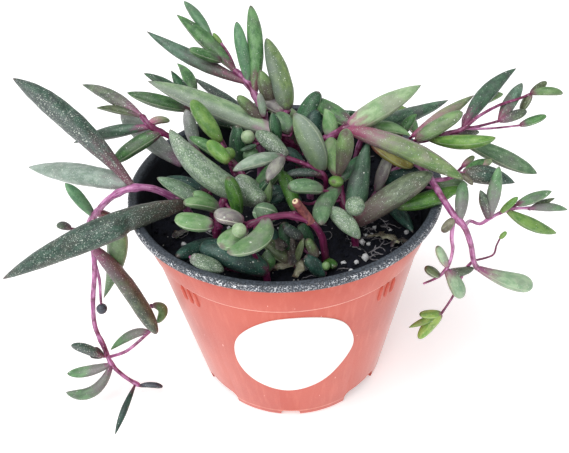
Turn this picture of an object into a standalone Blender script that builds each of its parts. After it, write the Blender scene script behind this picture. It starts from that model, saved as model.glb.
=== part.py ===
# Potted string of pickles: a round nursery pot, its soil and label, and a trailing succulent
# with plump, pointed leaves on purple stems. Metres, +Z up. The origin is the centre of the
# pot's underside, on the surface that the pot stands on, and -Y is the label's side.

import math

import bmesh
import bpy
from mathutils import Vector

MM = 0.001
SEAT = 0.3  # mm, the gap that touching pieces keep
UP = Vector((0, 0, 1))

# The pot, in millimetres
POT_HEIGHT = 82.4
RIM_RADIUS = 52.5
RIM_WIDTH = 3.0
LIP_HEIGHT = 2.2
STEP_RADIUS = 48.2
STEP_HEIGHT = 68.1
BASE_RADIUS = 37.1
WALL = 1.2
FLOOR_RAISE = 4.0
PAD_RADIUS = 9.0
FOOT_WIDTH = 3.4
RIM_ROUND = 0.5
LIP_OVERHANG = 1.5
STEP_LEDGE = 0.7
STEP_RISE = 0.8
FOOT_ROUND = 1.0
UNDERSIDE_SLOPE = 1.5
POT_SEGMENTS = 48

# Drainage arches between the feet and a small notch in each foot, at the wall's lower edge
ARCH_ANGLES = (-138, -48, 42, 132)
ARCH_WIDTH = 16.0
ARCH_HEIGHT = 6.0
NOTCH_ANGLES = (-93, -3, 87, 177)
NOTCH_WIDTH = 7.0
NOTCH_HEIGHT = 3.0
CUT_DEPTH = 6.0
CUT_OUTSIDE = 1.5

SOIL_TOP = 70.0
SOIL_ROUND = 1.5
SOIL_SIDE_GAP = 0.5
SOIL_SEGMENTS = 40

LABEL_THICKNESS = 0.25
LABEL_GAP = 0.35
# Pebble outline of the label on the pot's wall: azimuth in degrees and height in millimetres
LABEL_OUTLINE = (
    (-63, 40), (-66, 52), (-73, 60), (-84, 64), (-97, 63), (-108, 56),
    (-115, 46), (-116, 34), (-110, 25), (-97, 20), (-84, 21), (-72, 27),
)

LEAF_SIDES = 8
LEAF_STATIONS = (0.0, 0.1, 0.25, 0.42, 0.6, 0.78, 0.92, 1.0)
LEAF_WIDEST = 0.5  # place of the largest width, as a share of the leaf's length
LEAF_NECK = 0.26  # the neck's and the blunt point's width, as shares of the largest
LEAF_POINT = 0.09
LEAF_FLATNESS = 0.66
STEM_SIDES = 6
LEAST_SINE = 0.5  # keeps a leaf that runs along its stem from starting far away

# Stems, in millimetres: radius at the root and at the tip, then the route that the stem grows along
SOIL_STEMS = {
    "stem_left_trailing": (1.0, 0.75, (
        (-29, -7, 71), (-33, -10, 79), (-36, -13, 86), (-41, -15, 91), (-46, -17, 93),
        (-51, -18, 92), (-56, -17, 88), (-61, -15, 83), (-66, -12, 76), (-68, -10, 64),
        (-69, -11, 53), (-72, -13, 41), (-73, -16, 31), (-71, -19, 23), (-69, -22, 16),
        (-65, -24, 11), (-60, -26, 8))),
    "stem_back_left": (0.9, 0.7, (
        (-23, 11, 71), (-25, 10, 80), (-30, 8, 90), (-35, 5, 96), (-42, 4, 102), (-45, 7, 104))),
    "stem_back": (0.9, 0.7, (
        (-18, 20, 71), (-22, 26, 80), (-27, 32, 87), (-32, 36, 90), (-34, 43, 91))),
    "stem_top": (1.2, 0.8, (
        (-9, 16, 71), (-8, 17, 82), (-7, 19, 90), (-6, 20, 95), (-7, 20, 98),
        (-9, 23, 102), (-11, 26, 105), (-15, 29, 108))),
    "stem_behind": (1.2, 0.9, (
        (6, 16, 71), (5, 14, 82), (3, 9, 90), (-1, 7, 95), (0, 12, 98), (2, 16, 99))),
    "stem_core": (1.1, 0.8, (
        (-6, -8, 71), (-8, -13, 79), (-10, -15, 85), (-13, -9, 90), (-18, -2, 93))),
    "stem_thin": (0.8, 0.6, (
        (13, -9, 71), (13, -9, 80), (12, -10, 88), (7, -10, 94), (0, -10, 98))),
    "stem_mid_right": (1.1, 0.9, (
        (22, -22, 71), (21, -20, 77), (18, -15, 83), (17, -10, 89))),
    "stem_back_right": (1.2, 1.0, (
        (9, 5, 71), (9, 5, 82), (11, 4, 92), (16, 1, 97), (20, 0, 100), (24, 0, 101))),
    "stem_front": (1.3, 1.0, (
        (12, -28, 71), (11, -31, 77), (10, -32, 83), (7, -33, 89), (1, -33, 92),
        (-6, -34, 92), (-11, -34, 90))),
    "stem_front_left": (0.8, 0.6, ((-6, -38, 71), (-8, -37, 77), (-12, -35, 80))),
    "stem_mid_left": (1.1, 0.9, (
        (-23, -20, 71), (-22, -22, 79), (-21, -20, 84), (-19, -19, 88))),
    "stem_right_trailing": (1.2, 0.8, (
        (30, 0, 71), (33, -2, 80), (37, -4, 86), (41, -6, 90), (43, -10, 91),
        (45, -15, 90), (47, -21, 88), (50, -28, 85), (53, -30, 82), (56, -30, 75),
        (58, -30, 68), (60, -29, 64))),
    "stem_right_raised": (1.0, 0.7, (
        (36, 8, 71), (38, 8, 80), (42, 7, 88), (48, 3, 93), (54, 1, 96), (58, 0, 98),
        (63, 2, 101), (70, 5, 103), (77, 7, 104), (81, 8, 105))),
}

# Side stems: the stem and the point on its route that each one grows from, then the same values
SIDE_STEMS = {
    "stem_right_hanging": ("stem_right_trailing", 7, 0.8, 0.6, (
        (49, -32, 80), (50, -32, 75), (50, -31, 68), (48, -30, 62), (44, -28, 57))),
    "stem_right_low": ("stem_right_trailing", 10, 0.6, 0.5, (
        (57, -27, 61), (55, -27, 50), (52, -27, 41))),
    "stem_right_outer": ("stem_right_trailing", 8, 0.7, 0.6, (
        (56, -26, 80), (61, -24, 79), (65, -23, 79), (70, -20, 80), (78, -18, 79))),
}

# Leaves: the stem, the point on its route, the tip, the width and how far the leaf's middle
# bows away from a straight line, all in millimetres. Point -1 is the stem's own end.
LEAVES = {
    "leaf_left_raised": ("stem_left_trailing", 4, (-86, 15, 116), 9.0, (0, 1, 1)),
    "leaf_left_pale": ("stem_left_trailing", 5, (-90, 12, 84), 7.5, (0, 2, 1)),
    "leaf_left_drooping": ("stem_left_trailing", 2, (-91, -28, 68), 8.2, (1, -7, 5)),
    "leaf_left_hanging": ("stem_left_trailing", 7, (-71, -6, 35), 7.2, (6, 4, 4)),
    "leaf_left_dark": ("stem_left_trailing", 9, (-50, -20, 30), 5.8, (0, 2, 2)),
    "leaf_low_front": ("stem_left_trailing", 14, (-87, -28, 8), 3.8, (1, -3, -2)),
    "leaf_low_side": ("stem_left_trailing", 14, (-86, -24, 14), 3.8, (0, 0, -1)),
    "leaf_back_left_long": ("stem_back_left", -1, (-68, 25, 108), 4.6, (0, 1, 1)),
    "leaf_back_left_side": ("stem_back_left", 4, (-68, 1, 98), 4.6, (0, 0, 1)),
    "leaf_back_left_grey": ("stem_back_left", 1, (-56, 22, 98), 5.9, (-2, 1, 1)),
    "leaf_back_dark": ("stem_back", 3, (-58, 42, 96), 5.6, (0, -2, 1)),
    "leaf_back_point": ("stem_back", 4, (-41, 62, 98), 5.4, (2, 0, 1)),
    "leaf_long_pale": ("stem_behind", 3, (-48, 36, 103), 7.8, (0, 1, 0)),
    "leaf_behind_dark": ("stem_top", 2, (-35, 55, 98), 6.0, (2, 0, 1)),
    "leaf_top_upper": ("stem_top", -1, (-36, 49, 122), 5.4, (0, 0, 1)),
    "leaf_top_lower": ("stem_top", 6, (-47, 45, 118), 5.4, (-1, 0, -1)),
    "leaf_top_upright": ("stem_top", 5, (-9, 46, 125), 5.4, (1, 0, 1)),
    "leaf_back_broad": ("stem_behind", -1, (-4, 38, 116), 7.8, (1, -4, 1)),
    "leaf_centre_bright": ("stem_core", -1, (-28, 16, 106), 5.0, (1, -3, 1)),
    "leaf_centre_speckled": ("stem_core", 2, (-34, -7, 107), 8.4, (-5, -3, -1)),
    "leaf_centre_broad": ("stem_thin", 3, (-9, -2, 104), 5.6, (1, 1, 2)),
    "leaf_centre_pale": ("stem_thin", -1, (-15, -21, 100), 4.8, (0, -1, 2)),
    "leaf_centre_tall": ("stem_thin", 2, (4, -7, 110), 7.8, (1, -2, 1)),
    "leaf_middle_oval": ("stem_mid_right", 2, (2, -24, 96), 5.2, (0, 0, 2)),
    "leaf_middle_upright": ("stem_mid_left", -1, (-17, -23, 100), 4.5, (3, -1, 0)),
    "leaf_right_back_light": ("stem_back_right", -1, (46, 12, 108), 7.8, (0, -1, 1)),
    "leaf_right_upright": ("stem_mid_right", -1, (18, -17, 109), 6.4, (1, 1, 0)),
    "leaf_right_standing": ("stem_mid_right", 1, (28, 0, 97), 6.4, (-1, -1, 0)),
    "leaf_right_purple": ("stem_back_right", 4, (54, -22, 95), 7.4, (-1, 0, 1)),
    "leaf_right_back_dark": ("stem_back_right", 3, (57, 16, 100), 6.4, (4, 5, -3)),
    "leaf_right_long": ("stem_mid_right", 1, (42, -17, 91), 8.0, (1, -1, 3)),
    "leaf_front_end_on": ("stem_core", 1, (-7, -28, 92), 6.4, (0, -2, 2)),
    "leaf_front_left": ("stem_mid_left", 2, (-39, -15, 95), 4.8, (0, 0, 1)),
    "leaf_front_curved": ("stem_mid_left", 1, (-34, -29, 89), 5.6, (1, -3, 1)),
    "leaf_front_banana": ("stem_front", 5, (-16, -50, 94), 5.6, (2, -1, -1)),
    "leaf_right_upper": ("stem_right_raised", 5, (80, 21, 108), 5.8, (-2, 3, 1)),
    "leaf_right_bright": ("stem_right_raised", 3, (66, -8, 99), 5.0, (0, -4, 1)),
    "leaf_right_spread": ("stem_right_raised", 4, (81, -10, 86), 5.8, (3, -1, -1)),
    "leaf_trailing_end": ("stem_right_trailing", -1, (79, -30, 56), 6.5, (0, 0, -1)),
    "leaf_outer_low": ("stem_right_outer", 4, (87, -21, 70), 4.2, (-1, -1, 0)),
}

STEM_PURPLE = (0.42, 0.12, 0.28)
LEAF_GREEN = (0.20, 0.33, 0.20)


def clear_scene():
    for existing in list(bpy.data.objects):
        bpy.data.objects.remove(existing, do_unlink=True)


def material(name, color, roughness):
    made = bpy.data.materials.new(name)
    made.use_nodes = True
    shader = made.node_tree.nodes["Principled BSDF"]
    shader.inputs["Base Color"].default_value = (*color, 1.0)
    shader.inputs["Roughness"].default_value = roughness
    shader.inputs["Metallic"].default_value = 0.0
    made.diffuse_color = (*color, 1.0)
    return made


def add_object(name, mesh, color, roughness):
    mesh.materials.append(material(name + "_finish", color, roughness))
    made = bpy.data.objects.new(name, mesh)
    bpy.context.scene.collection.objects.link(made)
    return made


def finish_mesh(builder, name, sharp_degrees=40):
    """A mesh from the bmesh, with outward faces, smooth apart from edges over the angle."""
    bmesh.ops.recalc_face_normals(builder, faces=builder.faces)
    mesh = bpy.data.meshes.new(name)
    builder.to_mesh(mesh)
    builder.free()
    mesh.shade_smooth()
    mesh.set_sharp_from_angle(angle=math.radians(sharp_degrees))
    return mesh


def bridge(builder, rings):
    """Quads between neighbouring closed rings that hold the same number of points."""
    for low, high in zip(rings, rings[1:]):
        count = len(low)
        for i in range(count):
            j = (i + 1) % count
            builder.faces.new((low[i], low[j], high[j], high[i]))


def turned_mesh(name, profile, segments):
    """A closed profile of (radius, height) in millimetres, turned about Z. Radius 0 is a pole."""
    builder = bmesh.new()
    rings = []
    for radius, height in profile:
        if radius == 0:
            rings.append([builder.verts.new((0, 0, height * MM))])
            continue
        ring = []
        for i in range(segments):
            angle = 2 * math.pi * i / segments
            place = (radius * math.cos(angle), radius * math.sin(angle), height)
            ring.append(builder.verts.new(Vector(place) * MM))
        rings.append(ring)
    for low, high in zip(rings, rings[1:]):
        for i in range(segments):
            j = (i + 1) % segments
            if len(low) == 1:
                builder.faces.new((low[0], high[i], high[j]))
            elif len(high) == 1:
                builder.faces.new((low[i], low[j], high[0]))
            else:
                builder.faces.new((low[i], low[j], high[j], high[i]))
    return finish_mesh(builder, name)


def wall_radius(height):
    """Outer radius of the pot's body at a height, in millimetres."""
    return BASE_RADIUS + (STEP_RADIUS - STEP_LEDGE - BASE_RADIUS) * height / STEP_HEIGHT


def pot_profile():
    rim_inner = RIM_RADIUS - RIM_WIDTH
    lip_bottom = POT_HEIGHT - LIP_HEIGHT
    foot_inner = BASE_RADIUS - FOOT_WIDTH
    floor_top = FLOOR_RAISE + WALL
    under_step = STEP_HEIGHT - STEP_RISE
    return (
        (0, 0), (PAD_RADIUS, 0), (PAD_RADIUS + UNDERSIDE_SLOPE, FLOOR_RAISE),
        (foot_inner - UNDERSIDE_SLOPE, FLOOR_RAISE), (foot_inner, 0), (BASE_RADIUS - FOOT_ROUND, 0),
        (wall_radius(FOOT_ROUND), FOOT_ROUND), (wall_radius(under_step), under_step),
        (STEP_RADIUS, STEP_HEIGHT), (RIM_RADIUS - LIP_OVERHANG, lip_bottom),
        (RIM_RADIUS - RIM_ROUND, lip_bottom), (RIM_RADIUS, lip_bottom + RIM_ROUND),
        (RIM_RADIUS, POT_HEIGHT - RIM_ROUND), (RIM_RADIUS - RIM_ROUND, POT_HEIGHT),
        (rim_inner + RIM_ROUND, POT_HEIGHT), (rim_inner, POT_HEIGHT - RIM_ROUND),
        (rim_inner - RIM_ROUND, lip_bottom - RIM_ROUND), (STEP_RADIUS - WALL, STEP_HEIGHT + RIM_ROUND),
        (wall_radius(under_step) - WALL, under_step), (wall_radius(floor_top) - WALL, floor_top),
        (0, floor_top),
    )


def box_mesh(name, size):
    builder = bmesh.new()
    bmesh.ops.create_cube(builder, size=1.0)
    bmesh.ops.scale(builder, vec=Vector(size) * MM, verts=builder.verts)
    return finish_mesh(builder, name)


def cut_at_wall_foot(pot, name, angle_degrees, width, height):
    """Cuts one drainage opening through the wall's lower edge, at an azimuth."""
    angle = math.radians(angle_degrees)
    cutter = bpy.data.objects.new(name, box_mesh(name, (CUT_DEPTH, width, 2 * height)))
    bpy.context.scene.collection.objects.link(cutter)
    middle = BASE_RADIUS + CUT_OUTSIDE - CUT_DEPTH / 2
    cutter.location = Vector((middle * math.cos(angle), middle * math.sin(angle), 0)) * MM
    cutter.rotation_euler = (0, 0, angle)
    cutter.hide_render = True
    cutter.display_type = "WIRE"
    cut = pot.modifiers.new(name, "BOOLEAN")
    cut.operation = "DIFFERENCE"
    cut.solver = "EXACT"
    cut.object = cutter


def make_pot():
    pot = add_object("pot", turned_mesh("pot", pot_profile(), POT_SEGMENTS), (0.75, 0.20, 0.12), 0.45)
    for number, angle in enumerate(ARCH_ANGLES):
        cut_at_wall_foot(pot, f"arch_cutter_{number}", angle, ARCH_WIDTH, ARCH_HEIGHT)
    for number, angle in enumerate(NOTCH_ANGLES):
        cut_at_wall_foot(pot, f"notch_cutter_{number}", angle, NOTCH_WIDTH, NOTCH_HEIGHT)


def make_soil():
    bottom = FLOOR_RAISE + WALL + SEAT
    neck = STEP_HEIGHT - STEP_RISE
    inset = WALL + SOIL_SIDE_GAP
    profile = (
        (0, bottom), (wall_radius(bottom) - inset, bottom), (wall_radius(neck) - inset, neck),
        (wall_radius(neck) - inset, SOIL_TOP - SOIL_ROUND),
        (wall_radius(neck) - inset - SOIL_ROUND, SOIL_TOP), (0, SOIL_TOP),
    )
    add_object("soil", turned_mesh("soil", profile, SOIL_SEGMENTS), (0.03, 0.025, 0.02), 0.95)


def label_point(azimuth, height, lift):
    angle = math.radians(azimuth)
    radius = wall_radius(height) + lift
    return Vector((radius * math.cos(angle), radius * math.sin(angle), height)) * MM


def make_label():
    """A thin pebble-shaped sticker that follows the wall, as shrinking rings about its middle."""
    shares = (1.0, 0.66, 0.33)
    middle_azimuth = sum(azimuth for azimuth, _ in LABEL_OUTLINE) / len(LABEL_OUTLINE)
    middle_height = sum(height for _, height in LABEL_OUTLINE) / len(LABEL_OUTLINE)
    builder = bmesh.new()
    sides = []
    for lift in (LABEL_GAP, LABEL_GAP + LABEL_THICKNESS):
        rings = []
        for share in shares:
            ring = []
            for azimuth, height in LABEL_OUTLINE:
                around = middle_azimuth + (azimuth - middle_azimuth) * share
                up = middle_height + (height - middle_height) * share
                ring.append(builder.verts.new(label_point(around, up, lift)))
            rings.append(ring)
        bridge(builder, rings)
        centre = builder.verts.new(label_point(middle_azimuth, middle_height, lift))
        inner = rings[-1]
        for i, point in enumerate(inner):
            builder.faces.new((point, inner[(i + 1) % len(inner)], centre))
        sides.append(rings[0])
    bridge(builder, sides)
    add_object("label", finish_mesh(builder, "label"), (0.92, 0.92, 0.90), 0.35)


def ring_axes(direction, start_side=None):
    """Two unit vectors square to the direction: one level or near the start side, one across it."""
    side = direction.cross(UP) if start_side is None else start_side
    if side.length < 0.05:
        side = Vector((1, 0, 0))
    side = side - direction * side.dot(direction)
    side.normalize()
    return side, side.cross(direction).normalized()


def swept_mesh(name, centres, directions, half_sizes, sides):
    """A closed body along a line of centres, with an oval ring of half width and half depth at each."""
    builder = bmesh.new()
    rings = []
    side = None
    for centre, direction, (half_width, half_depth) in zip(centres, directions, half_sizes):
        side, across = ring_axes(direction, side)
        ring = []
        for i in range(sides):
            angle = 2 * math.pi * i / sides
            offset = side * (half_width * math.cos(angle)) + across * (half_depth * math.sin(angle))
            ring.append(builder.verts.new((centre + offset) * MM))
        rings.append(ring)
    bridge(builder, rings)
    builder.faces.new(rings[0])
    builder.faces.new(rings[-1])
    return finish_mesh(builder, name, 60)


def route_directions(points, rooted):
    """The direction of growth at each point. A rooted stem leaves the soil straight up."""
    last = len(points) - 1
    found = []
    for i in range(len(points)):
        ahead = points[min(i + 1, last)] - points[max(i - 1, 0)]
        found.append(ahead.normalized())
    if rooted:
        found[0] = UP.copy()
    return found


def stem_radius(root_radius, tip_radius, place, last):
    return root_radius + (tip_radius - root_radius) * place / last


def seat_distance(stem_direction, stem_radius_here, grow_direction, own_radius, at_end):
    """How far from the stem's middle line a piece's first ring lies, to clear the stem by SEAT."""
    along = abs(stem_direction.dot(grow_direction))
    across = math.sqrt(max(1 - along * along, 0))
    if at_end:
        return SEAT + (stem_radius_here + own_radius) * across
    return (stem_radius_here + SEAT + own_radius * along) / max(across, LEAST_SINE)


def make_stem(name, root_radius, tip_radius, points, rooted):
    directions = route_directions(points, rooted)
    last = len(points) - 1
    radii = [stem_radius(root_radius, tip_radius, i, last) for i in range(last + 1)]
    half_sizes = [(radius, radius) for radius in radii]
    mesh = swept_mesh(name, points, directions, half_sizes, STEM_SIDES)
    add_object(name, mesh, STEM_PURPLE, 0.5)
    return points, directions, radii


def make_stems():
    """Every stem, and for each one its points, directions and radii in millimetres."""
    grown = {}
    for name, (root_radius, tip_radius, route) in SOIL_STEMS.items():
        points = [Vector(place) for place in route]
        points[0].z = SOIL_TOP + SEAT
        grown[name] = make_stem(name, root_radius, tip_radius, points, True)
    for name, (parent, place, root_radius, tip_radius, route) in SIDE_STEMS.items():
        parent_points, parent_directions, parent_radii = grown[parent]
        node = parent_points[place]
        first = Vector(route[0])
        grow = (first - node).normalized()
        away = seat_distance(parent_directions[place], parent_radii[place], grow, root_radius, False)
        points = [node + grow * away] + [Vector(stop) for stop in route]
        grown[name] = make_stem(name, root_radius, tip_radius, points, False)
    return grown


def leaf_share(t):
    """Half width of a leaf at t from its neck to its point, as a share of the largest."""
    swell = min(t / LEAF_WIDEST, 1.0)
    body = LEAF_NECK + (1 - LEAF_NECK) * swell * swell * (3 - 2 * swell)
    taper = max(t - LEAF_WIDEST, 0) / (1 - LEAF_WIDEST)
    return max(body * (1 - taper ** 1.9) ** 0.75, LEAF_POINT)


def make_leaf(name, stem, place, tip, width, bow):
    """A plump leaf: an oval section along a bowed line, from a narrow neck to a point."""
    points, directions, radii = stem
    at_end = place in (-1, len(points) - 1)
    node = points[place]
    end = Vector(tip)
    middle = (node + end) / 2 + Vector(bow)
    control = middle * 2 - (node + end) / 2
    grow = (control - node).normalized()
    neck_radius = LEAF_NECK * width / 2
    away = seat_distance(directions[place], radii[place], grow, neck_radius, at_end)
    start = node + grow * away
    centres = []
    lines = []
    half_sizes = []
    for t in LEAF_STATIONS:
        centres.append(start * (1 - t) ** 2 + control * (2 * t * (1 - t)) + end * t ** 2)
        lines.append(((control - start) * (1 - t) + (end - control) * t).normalized())
        half = leaf_share(t) * width / 2
        flatness = LEAF_FLATNESS + (1 - LEAF_FLATNESS) * (1 - t) ** 3
        half_sizes.append((half, half * flatness))
    mesh = swept_mesh(name, centres, lines, half_sizes, LEAF_SIDES)
    add_object(name, mesh, LEAF_GREEN, 0.45)


def main():
    clear_scene()
    make_pot()
    make_soil()
    make_label()
    stems = make_stems()
    for name, (stem, place, tip, width, bow) in LEAVES.items():
        make_leaf(name, stems[stem], place, tip, width, bow)


main()
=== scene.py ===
import math
import random
from dataclasses import dataclass

import bmesh
import bpy
from mathutils import Matrix, Vector, noise

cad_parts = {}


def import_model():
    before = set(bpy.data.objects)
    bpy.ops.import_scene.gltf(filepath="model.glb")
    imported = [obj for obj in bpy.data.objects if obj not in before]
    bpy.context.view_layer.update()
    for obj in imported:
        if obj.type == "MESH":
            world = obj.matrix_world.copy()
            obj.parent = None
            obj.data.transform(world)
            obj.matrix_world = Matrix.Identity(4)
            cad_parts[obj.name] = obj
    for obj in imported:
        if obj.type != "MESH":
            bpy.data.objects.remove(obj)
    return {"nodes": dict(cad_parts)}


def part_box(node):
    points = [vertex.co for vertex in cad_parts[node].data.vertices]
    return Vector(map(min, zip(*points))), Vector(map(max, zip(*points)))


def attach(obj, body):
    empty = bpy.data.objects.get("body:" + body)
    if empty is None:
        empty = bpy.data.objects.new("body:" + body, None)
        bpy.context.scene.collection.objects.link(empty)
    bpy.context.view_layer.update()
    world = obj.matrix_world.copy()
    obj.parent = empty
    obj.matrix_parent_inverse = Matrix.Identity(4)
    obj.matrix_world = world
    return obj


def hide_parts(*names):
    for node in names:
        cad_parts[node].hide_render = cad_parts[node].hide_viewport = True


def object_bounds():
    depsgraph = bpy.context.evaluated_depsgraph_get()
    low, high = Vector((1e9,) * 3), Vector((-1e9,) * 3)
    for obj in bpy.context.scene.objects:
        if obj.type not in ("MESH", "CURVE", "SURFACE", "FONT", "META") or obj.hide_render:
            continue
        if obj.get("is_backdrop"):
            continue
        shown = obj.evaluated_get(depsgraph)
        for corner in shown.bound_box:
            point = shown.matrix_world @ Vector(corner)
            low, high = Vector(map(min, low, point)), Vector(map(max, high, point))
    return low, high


# The looks of a potted string of pickles: a nursery pot, its soil and label, and a trailing
# succulent. Every table and size is in millimetres and every colour is 0 to 255 as seen on a
# screen. The pot stands on z = 0, the origin is the centre of its underside, and -Y is the front.

MM = 0.001
UP = Vector((0, 0, 1))

# The camera: its place, the point that it looks at, its roll and its lens
CAMERA_PLACE = (0.0, -167.7, 197.4)
CAMERA_AIM = (-0.98, 26.34, 39.77)
CAMERA_ROLL = -2.96
CAMERA_LENS = 37.96
FLOOR_SIZE = 4000.0
FLOOR_GLOW = 0.32
WORLD_STRENGTH = 0.6
SUN_STRENGTH = 1.7
SUN_SOFTNESS = 50.0
SUN_FROM = (-0.45, -0.25, 1.0)
GLOW_PLACE = (-150, -500, 350)
GLOW_SIZE = 300
GLOW_POWER = 0.7

# The pot beside its height and rim radius, which come from the frame
RIM_WIDTH = 3.0
LIP_HEIGHT = 2.2
LIP_OVERHANG = 1.5
STEP_RADIUS = 48.2
STEP_HEIGHT = 68.1
STEP_LEDGE = 0.7
STEP_RISE = 0.8
BASE_RADIUS = 37.1
WALL = 1.2
FLOOR_RAISE = 4.0
PAD_RADIUS = 9.0
FOOT_WIDTH = 3.4
UNDERSIDE_SLOPE = 1.5
POT_SEGMENTS = 256
ARCH_ANGLES = (-138, -48, 42, 132)
ARCH_SIZE = (16.0, 6.0, 2.6)
NOTCH_ANGLES = (-93, -3, 87, 177)
NOTCH_SIZE = (7.0, 3.0, 1.4)
CUT_DEPTH = 6.0
CUT_OUTSIDE = 1.5
RIB_GROUPS = (-50, -132, 130, 48)
RIB_STEP_DEGREES = 3.4
RIB_HEIGHTS = (59.5, 66.6)
RIB_RADIUS = 0.75
# Height of the pale line near the foot, partly a mould line and partly painted highlight
FOOT_LINE = 3.2

SOIL_TOP = 70.0
SOIL_GAP = 0.3
SOIL_SIDES = 240
SOIL_RINGS = 78
FIBRE_COUNT = 60
FIBRE_REACH = 43.0

LABEL_THICKNESS = 0.25
LABEL_GAP = 0.06
# The back and the front of the label: the lift off the wall, and the share of the outline's size
# of each ring from its edge to its middle
LABEL_RINGS = (
    (LABEL_GAP, (1.0, 0.5)),
    (LABEL_GAP + LABEL_THICKNESS, (0.996, 0.99, 0.9, 0.7, 0.45, 0.2)),
)
# Pebble outline of the label on the pot's wall: azimuth in degrees and height
LABEL_OUTLINE = (
    (-63, 40), (-66, 52), (-73, 60), (-84, 64), (-97, 63), (-108, 56),
    (-115, 46), (-116, 34), (-110, 25), (-97, 20), (-84, 21), (-72, 27),
)

LEAF_WIDEST = 0.5
LEAF_NECK = 0.26
LEAF_FLATNESS = 0.8
LEAF_SIDES = 20
DRY_FLATNESS = 0.3
LEAF_PLUMP = 1.12  # how much wider a leaf's skin is than its CAD solid
STEM_PLUMP = 1.18
STEM_SIDES = 14
STALK_RADIUS = 0.42


@dataclass
class Look:
    """A leaf's finish: two body colours, a stain, the neck's colour and its reach. Wash is how
    far the stain spreads up from the foot, and lean is how much of it lies on one side."""
    light: tuple
    deep: tuple
    stain: tuple = (92, 78, 84)
    neck: tuple = (112, 56, 80)
    reach: float = 0.2
    wash: float = 0.12
    lean: float = 0.0
    speckle: float = 0.3
    # Rim and rim colour: a thin pale line along the leaf's edge, partly its own margin and partly painted
    # highlight along the thin edge
    rim: float = 0.5
    rim_color: tuple = (196, 206, 178)
    tip_color: tuple = (98, 74, 76)
    slot: str = "leaf_green"


@dataclass
class Leaf:
    """A leaf's place on its stem, counted in the route's points, or -1 for the stem's own end,
    its tip, its width, its look and how far its middle bows away from a straight line. Foot is
    where it starts if a short stalk carries it. Shape is how blunt its end is, how full its lower
    part is and where it is widest, from the foot at 0 to the point at 1, if not as usual."""
    place: float
    tip: tuple
    width: float
    look: str
    bow: tuple = (0, 0, 0)
    foot: tuple = None
    shape: tuple = None


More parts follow.
